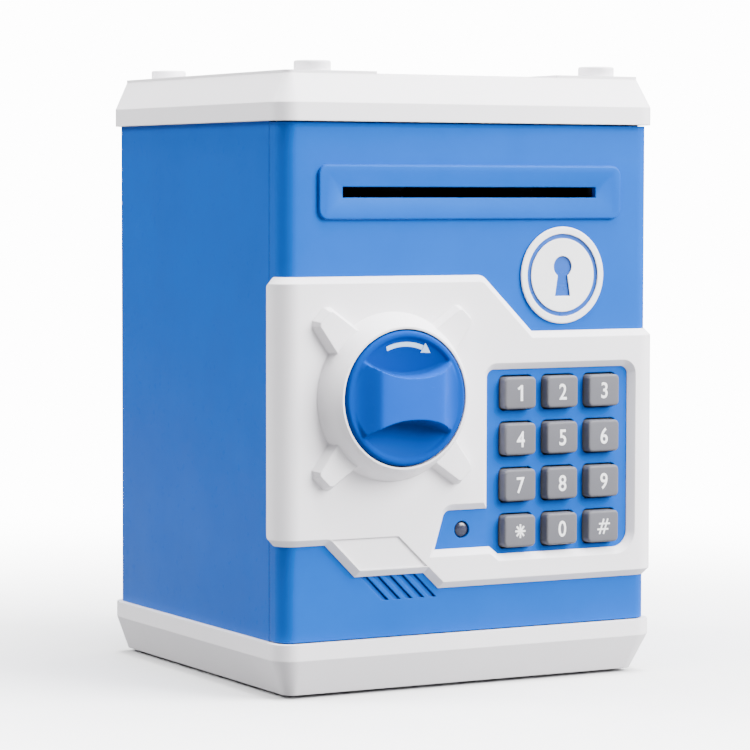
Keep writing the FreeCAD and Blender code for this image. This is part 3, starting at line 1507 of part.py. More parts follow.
def make_main_board():
    """The control board with its chip, connector and the small switch under the reset button."""
    body = new_body("main_board")
    front = P.board_y
    add(body, "front", front, front + 1.6, rectangle(-48.0, 52.6, -13.5, 79.5))
    add(body, "front", front, front + 1.6, rectangle(-48.0, 35.0, -13.5, 53.0))
    parts = [
        (-44.0, 66.0, -34.0, 76.0, 2.0),
        (-27.0, 69.0, -17.0, 74.0, 3.4),
        (-20.0, 38.0, -15.5, 48.0, 4.2),
        (-34.0, 41.0, -28.0, 47.0, 5.2),
        (-45.0, 40.0, -40.0, 45.0, 3.0),
    ]
    for left, low, right, high, tall in parts:
        add(body, "front", front + 1.5, front + 1.6 + tall, rectangle(left, low, right, high))
    keep("main_board", body)


def make_speaker():
    """The speaker: a steel basket with a magnet, and a paper cone inside it."""
    spot = (P.speaker_x, 0)
    rear = new_body("speaker_frame")
    front = PLATE_BACK
    radius = P.speaker_radius
    profile = [
        (radius - 1.6, front),
        (radius, front),
        (radius, front + 1.2),
        (radius - 1.0, front + 1.4),
        (7.4, front + 5.6),
        (7.4, front + 9.4),
        (0, front + 9.4),
        (0, front + 5.0),
        (6.6, front + 5.0),
        (radius - 1.6, front + 0.9),
    ]
    turn(rear, "top", P.speaker_z, spot, outline(profile))
    keep("speaker_frame", rear)
    cone = new_body("speaker_cone")
    sheet_profile = [
        (0, front + 2.2),
        (3.6, front + 3.6),
        (radius - 2.6, front + 0.2),
        (radius - 1.7, front + 0.2),
        (radius - 1.7, front + 0.6),
        (3.6, front + 4.2),
        (0, front + 2.8),
    ]
    turn(cone, "top", P.speaker_z, spot, outline(sheet_profile))
    keep("speaker_cone", cone)


def make_battery_cells():
    """Three round cells lying side by side across the bay."""
    cells = []
    for number in (-1, 0, 1):
        height = P.cell_z + number * P.cell_pitch
        left = P.bay_left + 6.0
        spot = (P.cell_y, height)
        can = cylinder(f"cell_can_{number + 1}", P.cell_radius, left, left + P.cell_length, "X", spot)
        right = left + P.cell_length
        nub = cylinder(f"cell_nub_{number + 1}", 2.6, right, right + 1.2, "X", spot)
        cells.append(fuse(f"cell_{number + 1}", [can, nub]))
    keep("battery_cells", group("battery_cells", cells))


def make_battery_contacts():
    """Sprung contacts at one end of the cells and flat ones at the other."""
    body = new_body("battery_contacts")
    heights = [P.cell_z + number * P.cell_pitch for number in (-1, 0, 1)]
    left = P.bay_left
    right = P.bay_right
    for height in heights:
        plate = rectangle(P.cell_y - 5, height - 5, P.cell_y + 5, height + 5)
        add(body, "side", left, left + 0.5, plate)
        add(body, "side", right - 0.5, right, plate)
        add(body, "side", left + 0.4, left + 3.4, disc(P.cell_y, height, 3.4))
        add(body, "side", left + 3.2, left + 6.0, disc(P.cell_y, height, 2.4))
        add(body, "side", left + P.cell_length + 7.2, right - 0.4, disc(P.cell_y, height, 2.8))
    keep("battery_contacts", body)


def make_battery_lid():
    """The lid of the battery bay, flush in the inner cover, and the screw in its ear."""
    body = new_body("battery_lid")
    back = P.housing_back
    add(body, "front", back - 1.4, back, lid_outline(0))
    for number in range(5):
        low = P.bay_low + 8 + number * 4
        cut(body, "front", back - 0.6, back + 1, rectangle(8.0, low, 36.0, low + 1.6), upward=True)
    cut(body, "front", back - 2, back + 1, disc(*LID_SCREW, 1.4), upward=True)
    keep("battery_lid", body)
    screw = new_body("lid_screw")
    add(screw, "front", back - 10, back, discs([LID_SCREW], P.pilot_radius))
    add(screw, "front", back, back + 1.3, discs([LID_SCREW], 2.5))
    cut(screw, "front", back + 0.4, back + 1.3, crosses([LID_SCREW]), upward=True)
    keep("lid_screw", screw)


def make_power_switch():
    """The on and off slide switch: a metal case and its slider."""
    body = new_body("power_switch")
    x, z = SWITCH_SPOT
    wall_in = P.housing_back - P.housing_wall
    add(body, "front", wall_in - 4.5, wall_in, rectangle(x - 5, z - 3.2, x + 5, z + 3.2))
    cavity = rectangle(x - 3.6, z - 1.7, x + 3.6, z + 1.7)
    cut(body, "front", wall_in - 2.6, wall_in, cavity, upward=True)
    keep("power_switch", body)
    slider = new_body("power_slider")
    foot = rectangle(x - 3.2, z - 1.5, x - 0.2, z + 1.5)
    add(slider, "front", wall_in - 2.4, P.housing_back + 1.0, foot)
    keep("power_slider", slider)


def make_reset_button():
    """The reset button in the inner cover."""
    wall_in = P.housing_back - P.housing_wall
    stem = cylinder("reset_stem", 2.3, wall_in - 1.4, P.housing_back + 0.6, "Y", RESET_SPOT)
    lip = cylinder("reset_lip", 3.3, wall_in - 1.4, wall_in - 0.2, "Y", RESET_SPOT)
    keep("reset_button", fuse("reset_button", [stem, lip]))


def wire(points, radius):
    """A round insulated lead along a smooth curve through the given points."""
    curve = Part.BSplineCurve()
    curve.interpolate([Vector(*point) for point in points])
    edge = curve.toShape()
    start = edge.valueAt(edge.FirstParameter)
    tangent = edge.tangentAt(edge.FirstParameter)
    ring = Part.Wire(Part.makeCircle(radius, start, tangent))
    return Part.Wire(edge).makePipeShell([ring], True, False)


def make_wiring():
    """Leads from the motor, the speaker, the lamp and the batteries to the control board."""
    board_back = -35.1
    header_low = 74.3
    motor_up = [
        (15.4, -48.3, 111.6),
        (2.0, -46.0, 108.0),
        (-12.5, -39.0, 98.0),
        (-19.0, board_back, 82.0),
        (-19.0, board_back, header_low),
    ]
    motor_down = [
        (15.4, -39.3, 111.6),
        (5.0, -38.0, 110.5),
        (-12.0, -35.5, 101.0),
        (-23.5, board_back, 83.0),
        (-24.0, board_back, header_low),
    ]
    speaker_right = [(-22.5, -46.8, 38.0), (-21.0, -43.0, 38.5), (-20.5, -38.5, 39.0)]
    speaker_left = [(-29.5, -46.8, 38.0), (-30.5, -43.0, 38.5), (-31.0, -38.5, 39.0)]
    lamp_left = [(-4.57, -49.1, 48.0), (-8.5, -47.9, 47.5), (-13.5, -45.8, 46.8), (-17.5, -38.5, 46.8)]
    lamp_right = [(-2.03, -49.1, 48.0), (-5.0, -48.4, 51.0), (-13.0, -46.8, 53.8), (-17.5, -38.5, 54.5)]
    routes = [motor_up, motor_down, speaker_right, speaker_left, lamp_left, lamp_right]
    leads = [wire(route, 0.5) for route in routes]
    nowhere = FreeCAD.Rotation()
    keep("wiring", shaped("wiring", Part.makeCompound(leads), nowhere, (0, 0, 0)))


# ---------------------------------------------------------------- building, checks and files


def build_all():
    """Builds every sub-part."""
    make_body_shell()
    make_top_cap()
    make_base()
    make_rest_pads()
    make_case_screws()
    make_door_shell()
    make_front_cover()
    make_badge()
    make_hinge_pins()
    make_door_back_cover()
    make_door_screws()
    for index, name in enumerate(KEY_NAMES):
        make_key(index, name)
    make_keypad_membrane()
    make_keypad_board()
    make_board_screws()
    make_led()
    make_knob()
    make_bolt_pinion()
    make_knob_screw()
    make_latch_bolt()
    make_bolt_guide()
    make_lock_solenoid()
    make_lock_plunger()
    make_feeder_frame()
    make_idler_pin()
    make_bill_guide()
    make_rollers()
    make_gear_train()
    make_motor()
    make_main_board()
    make_speaker()
    make_battery_cells()
    make_battery_contacts()
    make_battery_lid()
    make_power_switch()
    make_reset_button()
    make_wiring()
    doc.recompute()


def check_all():
    """Stops if a feature failed, a cut removed nothing, or a sub-part isn't a valid shape."""
    for item in doc.Objects:
        if "Invalid" in item.State or "Error" in item.State:
            raise ValueError(f"{item.Label} is {item.State}")
        if item.TypeId in ("PartDesign::Pocket", "PartDesign::Groove", "PartDesign::SubtractiveLoft"):
            before = item.BaseFeature.Shape.Volume
            if item.Shape.Volume > before - 0.01:
                raise ValueError(f"{item.Label} cuts nothing")
    for label, item in NODES.items():
        shape = item.Shape
        if shape.isNull() or not shape.isValid() or not shape.Solids:
            raise ValueError(f"{label} has no valid solid")


def write_all():
    """Writes each sub-part to its own file."""
    os.makedirs("parts", exist_ok=True)
    for label, item in NODES.items():
        item.Shape.exportStep(f"parts/{label}.step")


build_all()
check_all()
write_all()
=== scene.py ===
"""Looks of the toy savings bank: finishes, soft edges, the knob, the printed marks, and the studio."""

import math

import bmesh
import bpy
import numpy as np
from mathutils import Matrix, Vector


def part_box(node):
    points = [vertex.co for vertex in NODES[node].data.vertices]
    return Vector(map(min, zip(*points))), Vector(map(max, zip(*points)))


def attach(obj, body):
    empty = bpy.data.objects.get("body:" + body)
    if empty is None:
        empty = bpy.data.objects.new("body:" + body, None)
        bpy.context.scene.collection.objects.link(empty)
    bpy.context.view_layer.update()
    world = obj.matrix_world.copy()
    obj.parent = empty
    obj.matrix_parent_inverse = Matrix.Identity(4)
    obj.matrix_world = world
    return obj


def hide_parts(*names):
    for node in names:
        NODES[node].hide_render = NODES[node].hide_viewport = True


MM = 0.001
KEYS = ["1", "2", "3", "4", "5", "6", "7", "8", "9", "star", "0", "hash"]

# Linear colours, and the tint of what the blue plastic mirrors.
BLUE = (0.0008, 0.076, 0.40)
KNOB_BLUE = (0.0006, 0.064, 0.41)
BLUE_GLINT = (0.12, 0.5, 1.0)
WHITE = (0.83, 0.81, 0.84)
KEY_GREY = (0.115, 0.115, 0.13)
BARE_METAL = (0.7, 0.7, 0.7)
COPPER = (0.62, 0.33, 0.12)
TRACK_GREEN = (0.05, 0.26, 0.1)

# Layers of a surface: the scale and the detail of each noise.
CLOUDS = (55.0, 5.0)
SCUFF_AND_HIGHLIGHT_PATCHES = (240.0, 3.0)
SMEARS = (32.0, 6.0)
SCRATCHES = (420.0, 2.0)
EDGE_RADIUS = 0.00045

# Places along one axis, in metres, between which a finish changes over.
BADGE_STEP_Y = (-0.05945, -0.05935)
# Down into the knob's scoops its colour darkens into painted shade over the first span, and its gloss
# drops over the second.
SCOOP_PAINTED_SHADE_Y = (-0.0735, -0.0690)
SCOOP_SHINE_Y = (-0.0735, -0.0700)
CELL_BAND_X = (0.0340, 0.0342)
CELL_HIGH_END_X = (0.0449, 0.0450)
CELL_LOW_END_X = (-0.0021, -0.0022)

# How much painted shade darkens the knob down in its scoops, and how glossy it is on top and down there.
SCOOP_PAINTED_SHADE = 0.58
KNOB_GLOSS = 0.12
SCOOP_GLOSS = 0.006

# Widths of the soft edges in millimetres, and the bends in degrees from which an edge is softened.
SOFT_EDGES = {
    "door_shell": 0.2,
    "body_shell": 0.3,
    "top_cap": 0.35,
    "base": 0.35,
    "front_cover": 0.3,
    "badge": 0.08,
    "door_back_cover": 0.3,
    "latch_bolt": 0.2,
    "battery_lid": 0.2,
    "power_slider": 0.15,
    "reset_button": 0.15,
}
USUAL_BEND = 30
BEND_LIMIT = {"top_cap": 20, "base": 20}
SHARP_BEND = 32
FLAT_BEND = 0.4
WELD_DISTANCE = 1e-6

# The knob: its axis and back plane in the frame, then its outline and heights, in millimetres.
KNOB_X, KNOB_Z, KNOB_BACK = -28.5, 89.0, -61.6
FACE_RADIUS = 18.9
EDGE_ARC = 1.12
WALL_RADIUS = 20.02
BACK_RADIUS = 19.7
HOLLOW_RADIUS = 18.2
HOLLOW_DEPTH = 4.2
STEM_RADIUS = 6.0
STEM_END = -5.0
RIM_HEIGHT = 8.4
RIM_RISE = (17.3, 18.5)
SHOULDER_HEIGHT, SHOULDER_RISE = 7.2, 1.2
BOWL_HEIGHT, BOWL_RISE, BOWL_RADIUS = 5.1, 2.7, 18.0
GRIP_HEIGHT = 12.62
GRIP_CROWN, CROWN_REACH = 0.25, 10.3
GRIP_LEVEL, GRIP_BLEND = 10.6, 0.6
GRIP_FALL, FALL_REACH = 4.2, 14.4
GRIP_WAIST, GRIP_FLARE = 6.1, 5.3
FLARE_MIDDLE, FLARE_REACH, FLARE_POWER = 0.7, 16.0, 2.2
WALL_FOOT, WALL_POWER = 1.4, 1.7
KNOB_RINGS, KNOB_EDGE_RINGS, KNOB_SPOKES = 150, 12, 288
KNOB_SHARP_BEND = 50

# The printed arrow on the knob: radii in millimetres and angles in degrees.
ARROW_OUTER, ARROW_INNER = 16.6, 15.2
ARROW_HEAD_OUTER, ARROW_HEAD_INNER, ARROW_TIP = 17.5, 14.3, 15.7
ARROW_START, ARROW_NECK, ARROW_END = 113, 68, 57
ARROW_STEPS = 22
PRINT_LIFT = 0.035
PRINT_THICKNESS = 0.05

# The marks on the keys.
MARK_SIZE = 6.8 * MM
MARK_DEPTH = 0.00006
MARK_BOLD = 0.0001
MARK_LIFT = 0.00001
MARK_NARROW = 0.86

# The studio: the camera's aim in radians,
# and each light's place, size, power and whether glossy faces mirror it.
CAMERA_PLACE = (-0.48218, -0.87847, 0.15056)
CAMERA_YAW, CAMERA_PITCH, CAMERA_ROLL = 0.5012, 0.0589, 0.0018
CAMERA_LENS = 151.74
CAMERA_SENSOR = 36.0
MIDDLE = (0, 0, 0.095)
LIGHTS = {
    "key": ((1.0, -1.1, 1.0), 1.2, 138.0, True),
    "left": ((-1.1, 0.6, 0.95), 0.7, 35.0, True),
    "top": ((0.1, -0.1, 1.5), 1.0, 104.0, False),
}
BACKDROP = 14.0
SURROUND = (0.93, 0.96, 1.0, 1)
SURROUND_POWER = 0.26
FLOOR_REACH = 6.0
FLOOR_FADE = (0.12, 0.5)
FLOOR_TONE = (0.86, 0.86, 0.87)
FLOOR_BOUNCE = (0.16, 0.16, 0.16)


# ---------------------------------------------------------------- node materials


class Recipe:
    """A node material being built: helpers that add a node, set its inputs and join them."""

    def __init__(self, name):
        self.material = bpy.data.materials.new(name)
        self.material.use_nodes = True
        self.tree = self.material.node_tree
        self.tree.nodes.clear()
        self.output = self.node("ShaderNodeOutputMaterial")
        self.shader = self.node("ShaderNodeBsdfPrincipled")
        self.join(self.shader, "BSDF", self.output, "Surface")
        self.place = self.node("ShaderNodeTexCoord")

    def node(self, kind, **values):
        made = self.tree.nodes.new(kind)
        for key, value in values.items():
            setattr(made, key, value)
        return made

    def join(self, source, out, target, into):
        self.tree.links.new(source.outputs[out], target.inputs[into])

    def set(self, node, **values):
        for key, value in values.items():
            node.inputs[key.replace("_", " ")].default_value = value

    def noise(self, scale, detail=4.0, stretch=(1, 1, 1), roughness=0.55):
        mapping = self.node("ShaderNodeMapping")
        mapping.inputs["Scale"].default_value = stretch
        self.join(self.place, "Object", mapping, "Vector")
        noise = self.node("ShaderNodeTexNoise")
        self.set(noise, Scale=scale, Detail=detail, Roughness=roughness)
        self.join(mapping, "Vector", noise, "Vector")
        return noise

    def ranged(self, source, out, low, high, to_low, to_high):
        made = self.node("ShaderNodeMapRange")
        self.join(source, out, made, "Value")
        self.set(made, From_Min=low, From_Max=high, To_Min=to_low, To_Max=to_high)
        return made

    def math(self, operation, a, b=None):
        made = self.node("ShaderNodeMath", operation=operation)
        for slot, item in ((0, a), (1, b)):
            if item is None:
                continue
            if isinstance(item, (int, float)):
                made.inputs[slot].default_value = item
            else:
                self.tree.links.new(item, made.inputs[slot])
        return made.outputs[0]

    def mix(self, factor, first, second):
        made = self.node("ShaderNodeMix", data_type="RGBA")
        for slot, item in ((0, factor), (6, first), (7, second)):
            if isinstance(item, (int, float)):
                made.inputs[slot].default_value = item
            elif isinstance(item, tuple):
                made.inputs[slot].default_value = (*item, 1.0)
            else:
                self.tree.links.new(item, made.inputs[slot])
        return made.outputs[2]

    def over(self, factor, colour):
        """Lays a second colour over the base colour so far, by a factor from 0 to 1."""
        base = self.shader.inputs["Base Color"]
        self.tree.links.new(self.mix(factor, base.links[0].from_socket, colour), base)

    def along(self, axis):
        """The place along one axis of the frame, ready for ranged."""
        split = self.node("ShaderNodeSeparateXYZ")
        self.join(self.place, "Object", split, "Vector")
        return split, axis

    def edges(self, radius):
        """How strongly a point lies on a convex or concave edge, from 0 to 1."""
        bevel = self.node("ShaderNodeBevel", samples=3)
        bevel.inputs["Radius"].default_value = radius
        shape = self.node("ShaderNodeNewGeometry")
        dot = self.node("ShaderNodeVectorMath", operation="DOT_PRODUCT")
        self.join(bevel, "Normal", dot, 0)
        self.join(shape, "Normal", dot, 1)
        return bevel, self.ranged(dot, "Value", 0.999, 0.86, 0.0, 1.0)


def tone(red, green, blue):
    """A linear colour from an everyday 0 to 255 one."""
    return tuple(((c / 255 + 0.055) / 1.055) ** 2.4 if c > 10 else c / 3294 for c in (red, green, blue))


def shade(colour, amount):
    """A colour made lighter (above 1) or darker (below 1)."""
    return tuple(min(1.0, c * amount) for c in colour)


def finish(
    recipe, colour, rough, spread=0.06, mottle=0.04, grain=0.00002, grain_scale=2600.0, wear=0.25
):
    """Shared look: mottled colour, cloudy gloss, fine scratches, surface grain, and edges made lighter,
    partly as scuffs and partly as a painted highlight.
    """
    cloud = recipe.noise(*CLOUDS)
    tint = recipe.ranged(cloud, "Fac", 0.3, 0.7, 0.0, 1.0)
    base = recipe.mix(tint.outputs[0], shade(colour, 1 - mottle), shade(colour, 1 + mottle))
    bevel, edge = recipe.edges(EDGE_RADIUS)
    # Convex and concave edges are lightened in patches, partly as scuffs and partly as a painted
    # highlight along them.
    patchy = recipe.ranged(recipe.noise(*SCUFF_AND_HIGHLIGHT_PATCHES), "Fac", 0.35, 0.7, 0.2, 1.0)
    scuffed_and_highlit_edges = recipe.math("MULTIPLY", edge.outputs[0], patchy.outputs[0])
    scuffed_and_highlit_edges = recipe.math("MULTIPLY", scuffed_and_highlit_edges, wear)
    light = tuple(c + (0.9 - c) * 0.12 for c in colour)
    recipe.tree.links.new(recipe.mix(scuffed_and_highlit_edges, base, light), recipe.shader.inputs["Base Color"])
    smears = recipe.noise(*SMEARS, roughness=0.65)
    smear = recipe.ranged(smears, "Fac", 0.3, 0.72, rough - spread, rough + spread)
    scratches = recipe.noise(*SCRATCHES, stretch=(0.06, 1, 1))
    scratch = recipe.ranged(scratches, "Fac", 0.62, 0.72, 0.0, 0.08)
    total = recipe.math("ADD", smear.outputs[0], scratch.outputs[0])
    recipe.tree.links.new(total, recipe.shader.inputs["Roughness"])
    bump = recipe.node("ShaderNodeBump")
    recipe.set(bump, Strength=0.35, Distance=grain)
    recipe.join(recipe.noise(grain_scale, 3.0), "Fac", bump, "Height")
    recipe.join(bevel, "Normal", bump, "Normal")
    recipe.join(bump, "Normal", recipe.shader, "Normal")


def plastic_recipe(name, colour, rough=0.34, gloss=0.2, glint=(1, 1, 1), **more):
    """Moulded plastic with a little light spreading under its skin, and a tint for what it mirrors."""
    recipe = Recipe(name)
    finish(recipe, colour, rough, **more)
    recipe.set(recipe.shader, IOR=1.46)
    recipe.shader.inputs["Specular Tint"].default_value = (*glint, 1.0)
    recipe.shader.inputs["Specular IOR Level"].default_value = gloss
    recipe.shader.inputs["Subsurface Weight"].default_value = 0.04
    recipe.shader.inputs["Subsurface Radius"].default_value = (0.002, 0.002, 0.002)
    recipe.shader.inputs["Subsurface Scale"].default_value = 0.6
    return recipe


def plastic(name, colour, **more):
    """The finished material of that plastic."""
    return plastic_recipe(name, colour, **more).material


def metal(name, colour, rough=0.28, **more):
    """Bare or plated metal."""
    recipe = Recipe(name)
    finish(recipe, colour, rough, **more)
    recipe.set(recipe.shader, Metallic=1.0)
    return recipe.material


def rubber(name, colour, rough=0.72):
    """Matt, slightly coarse rubber, foam or paper."""
    recipe = Recipe(name)
    finish(recipe, colour, rough, spread=0.08, mottle=0.1, grain=0.00005, grain_scale=1400.0, wear=0.3)
    return recipe.material


def badge_finish():
    """White raised print over a blue ground: the ground shows wherever the badge is recessed."""
    recipe = Recipe("badge_print")
    finish(recipe, tone(238, 238, 240), 0.3, wear=0.05)
    deep = recipe.ranged(*recipe.along("Y"), *BADGE_STEP_Y, 0.0, 1.0)
    recipe.over(deep.outputs[0], recipe.mix(0.5, BLUE, shade(BLUE, 0.9)))
    return recipe.material


def knob_finish():
    """Glossy blue, with painted shade darkening it down in the scoops beside the grip, and its gloss
    lowered there.
    """
    recipe = plastic_recipe(
        "knob_plastic", KNOB_BLUE, rough=0.22, gloss=KNOB_GLOSS, glint=BLUE_GLINT, wear=0.02
    )
    depth = recipe.along("Y")
    # Painted shade: the knob's colour is darkened the deeper it lies in the scoops.
    deep = recipe.ranged(*depth, *SCOOP_PAINTED_SHADE_Y, 0.0, 1.0)
    recipe.over(deep.outputs[0], shade(KNOB_BLUE, SCOOP_PAINTED_SHADE))
    shine = recipe.ranged(*depth, *SCOOP_SHINE_Y, KNOB_GLOSS, SCOOP_GLOSS)
    recipe.join(shine, "Result", recipe.shader, "Specular IOR Level")
    return recipe.material


def lamp_finish():
    """A smoked clear lens."""
    recipe = Recipe("lamp_lens")
    finish(recipe, tone(44, 46, 66), 0.22, spread=0.04, wear=0.02)
    recipe.shader.inputs["Transmission Weight"].default_value = 0.2
    recipe.shader.inputs["Coat Weight"].default_value = 0.25
    return recipe.material


def wire_finish():
    """Insulated leads, each in its own colour."""
    recipe = Recipe("lead_insulation")
    finish(recipe, (0.5, 0.5, 0.5), 0.42, wear=0.05)
    shape = recipe.node("ShaderNodeNewGeometry")
    ramp = recipe.node("ShaderNodeValToRGB")
    ramp.color_ramp.interpolation = "CONSTANT"
    red, black, yellow, grey = (0.62, 0.03, 0.02), (0.02, 0.02, 0.02), (0.75, 0.6, 0.05), (0.7, 0.7, 0.7)
    colours = [(0.0, red), (0.3, black), (0.55, yellow), (0.8, grey)]
    while len(ramp.color_ramp.elements) < len(colours):
        ramp.color_ramp.elements.new(0.9)
    for element, (at, colour) in zip(ramp.color_ramp.elements, colours):
        element.position = at
        element.color = (*colour, 1.0)
    recipe.join(shape, "Random Per Island", ramp, "Fac")
    grime = recipe.ranged(recipe.noise(300.0), "Fac", 0, 1, 0.0, 0.2)
    dusty = recipe.mix(grime.outputs[0], ramp.outputs[0], (0.02, 0.02, 0.02))
    recipe.tree.links.new(dusty, recipe.shader.inputs["Base Color"])
    return recipe.material


def board_finish():
    """A green circuit board with faint lighter tracks."""
    recipe = Recipe("circuit_board")
    finish(recipe, (0.02, 0.13, 0.05), 0.3, wear=0.1)
    cells = recipe.node("ShaderNodeTexVoronoi", distance="CHEBYCHEV", feature="F1")
    recipe.set(cells, Scale=260.0)
    recipe.join(recipe.place, "Object", cells, "Vector")
    track = recipe.ranged(cells, "Distance", 0.36, 0.4, 0.0, 0.55)
    recipe.over(track.outputs[0], TRACK_GREEN)
    return recipe.material


def cell_finish():
    """A plain dark sleeve with a coppery band at the positive end and bare metal at both ends."""
    recipe = Recipe("cell_sleeve")
    finish(recipe, (0.02, 0.022, 0.025), 0.25, wear=0.1)
    length = recipe.along("X")
    band = recipe.ranged(*length, *CELL_BAND_X, 0.0, 1.0)
    bare_high = recipe.ranged(*length, *CELL_HIGH_END_X, 0.0, 1.0)
    bare_low = recipe.ranged(*length, *CELL_LOW_END_X, 0.0, 1.0)
    bare = recipe.math("MAXIMUM", bare_high.outputs[0], bare_low.outputs[0])
    recipe.over(band.outputs[0], COPPER)
    recipe.over(bare, BARE_METAL)
    metallic = recipe.math("MAXIMUM", bare, band.outputs[0])
    recipe.tree.links.new(metallic, recipe.shader.inputs["Metallic"])
    return recipe.material


# ---------------------------------------------------------------- CAD nodes


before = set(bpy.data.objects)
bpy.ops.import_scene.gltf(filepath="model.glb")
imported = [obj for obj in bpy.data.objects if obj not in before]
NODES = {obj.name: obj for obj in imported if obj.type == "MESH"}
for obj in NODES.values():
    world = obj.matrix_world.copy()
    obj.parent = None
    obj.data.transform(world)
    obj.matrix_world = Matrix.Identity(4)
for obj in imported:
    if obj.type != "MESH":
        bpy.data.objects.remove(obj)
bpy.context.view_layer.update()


def paint(material, *names):
    """Gives CAD nodes a material."""
    for name in names:
        mesh = NODES[name].data
        mesh.materials.clear()
        mesh.materials.append(material)


def paint_frame():
    """A material for every CAD node."""
    blue = plastic("blue_plastic", BLUE, gloss=0.16, glint=BLUE_GLINT)
    paint(blue, "door_shell", "body_shell", "door_back_cover", "battery_lid")
    paint(plastic("white_plastic", WHITE, rough=0.4, mottle=0.012), "top_cap", "base", "front_cover")
    paint(knob_finish(), "knob")
    grey = plastic("key_plastic", KEY_GREY, rough=0.5, mottle=0.03, grain=0.00004)
    paint(grey, *[f"key_{name}" for name in KEYS])
    paint(badge_finish(), "badge")
    paint(lamp_finish(), "led")
    paint(rubber("foam_pad", (0.02, 0.02, 0.02)), "rest_pads")
    paint(rubber("roller_rubber", (0.015, 0.015, 0.016), 0.6), "drive_rollers", "pinch_rollers")
    paint(rubber("key_mat", (0.55, 0.55, 0.55)), "keypad_membrane")
    screws = metal("zinc_screw", (0.5, 0.5, 0.5), 0.3)
    paint(screws, "case_screws", "door_screws", "board_screws", "knob_screw", "lid_screw")
    steel = metal("ground_steel", (0.6, 0.6, 0.62), 0.2)
    paint(steel, "hinge_pins", "idler_pin", "drive_shaft", "pinch_shaft", "motor_shaft")
    acetal = plastic("acetal", tone(226, 225, 220), rough=0.38)
    paint(acetal, "bolt_pinion", "latch_bolt", "bolt_guide")
    black = plastic("black_acetal", (0.012, 0.012, 0.013), rough=0.5)
    paint(black, "feeder_frame", "bill_guide")
    gears = plastic("gear_acetal", tone(240, 238, 228), rough=0.35)
    paint(gears, "motor_pinion", "idler_gear", "drive_gear")
    paint(metal("lock_steel", (0.45, 0.45, 0.46), 0.35), "lock_solenoid", "lock_plunger")
    paint(metal("motor_can", (0.62, 0.62, 0.64), 0.25), "feed_motor")
    paint(metal("speaker_steel", (0.4, 0.4, 0.42), 0.4), "speaker_frame")
    paint(rubber("speaker_paper", (0.012, 0.012, 0.013), 0.85), "speaker_cone")
    paint(metal("nickel_spring", (0.66, 0.65, 0.6), 0.22), "battery_contacts")
    paint(cell_finish(), "battery_cells")
    paint(board_finish(), "keypad_board", "main_board")
    dark = plastic("switch_plastic", (0.02, 0.02, 0.022), rough=0.4)
    paint(dark, "power_switch", "power_slider", "reset_button")
    paint(wire_finish(), "wiring")


def soften_frame():
    """Soft edges on CAD nodes, and smooth shading on all of them."""
    for name, node in NODES.items():
        mesh = node.data
        for attribute in [a for a in mesh.attributes if a.name == "custom_normal"]:
            mesh.attributes.remove(attribute)
        weld = node.modifiers.new("weld", "WELD")
        weld.merge_threshold = WELD_DISTANCE
        if name in SOFT_EDGES:
            flat = node.modifiers.new("flat_faces", "DECIMATE")
            flat.decimate_type = "DISSOLVE"
            flat.angle_limit = math.radians(FLAT_BEND)
            bevel = node.modifiers.new("soft_edge", "BEVEL")
            bevel.width = SOFT_EDGES[name] * MM
            bevel.segments = 2
            bevel.limit_method = "ANGLE"
            bevel.angle_limit = math.radians(BEND_LIMIT.get(name, USUAL_BEND))
            bevel.use_clamp_overlap = True
            bevel.harden_normals = True
            mesh.shade_smooth()
        else:
            mesh.shade_smooth()
            mesh.set_sharp_from_angle(angle=math.radians(SHARP_BEND))


# ---------------------------------------------------------------- pieces


def piece(name, mesh, body, material):
    """Puts a mesh into the scene as a piece that rides on a CAD body."""
    item = bpy.data.objects.new(name, mesh)
    bpy.context.scene.collection.objects.link(item)
    mesh.materials.append(material)
    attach(item, body)
    return item


def smooth_step(low, high, value):
    """Zero below low, one above high, and a smooth rise between."""
    share = np.clip((value - low) / (high - low), 0.0, 1.0)
    return share * share * (3 - 2 * share)


def knob_height(u, v):
    """Height of the knob's front over its back plane at a point across it, in millimetres."""
    r = np.hypot(u, v)
    side = np.abs(u)
    beyond = side - GRIP_LEVEL
    fall = np.clip((beyond + np.sqrt(beyond ** 2 + GRIP_BLEND)) / FALL_REACH, 0.0, 1.0)
    crown = GRIP_CROWN * (1 - np.clip(side / CROWN_REACH, 0, 1) ** 2)
    crest = GRIP_HEIGHT + crown - GRIP_FALL * (1 - (1 - fall) ** WALL_POWER)
    half = GRIP_WAIST + GRIP_FLARE * (np.abs(u - FLARE_MIDDLE) / FLARE_REACH) ** FLARE_POWER
    bowl = BOWL_HEIGHT + BOWL_RISE * np.clip(r / BOWL_RADIUS, 0, 1) ** 2
    foot = np.clip((half - np.abs(v) + WALL_FOOT) / WALL_FOOT, 0.0, 1.0)
    height = bowl + (crest - bowl) * foot ** WALL_POWER
    height = height + (RIM_HEIGHT - height) * smooth_step(*RIM_RISE, r)
    outer = np.clip((r - FACE_RADIUS) / EDGE_ARC, 0.0, 1.0)
    edge = SHOULDER_HEIGHT + SHOULDER_RISE * np.sqrt(np.maximum(0, 1 - outer ** 2))
    return np.where(r > FACE_RADIUS, edge, height)


def knob_place(u, v, h):
    """Where a point of the knob lies in the frame, in metres."""
    return ((KNOB_X + u) * MM, (KNOB_BACK - h) * MM, (KNOB_Z + v) * MM)


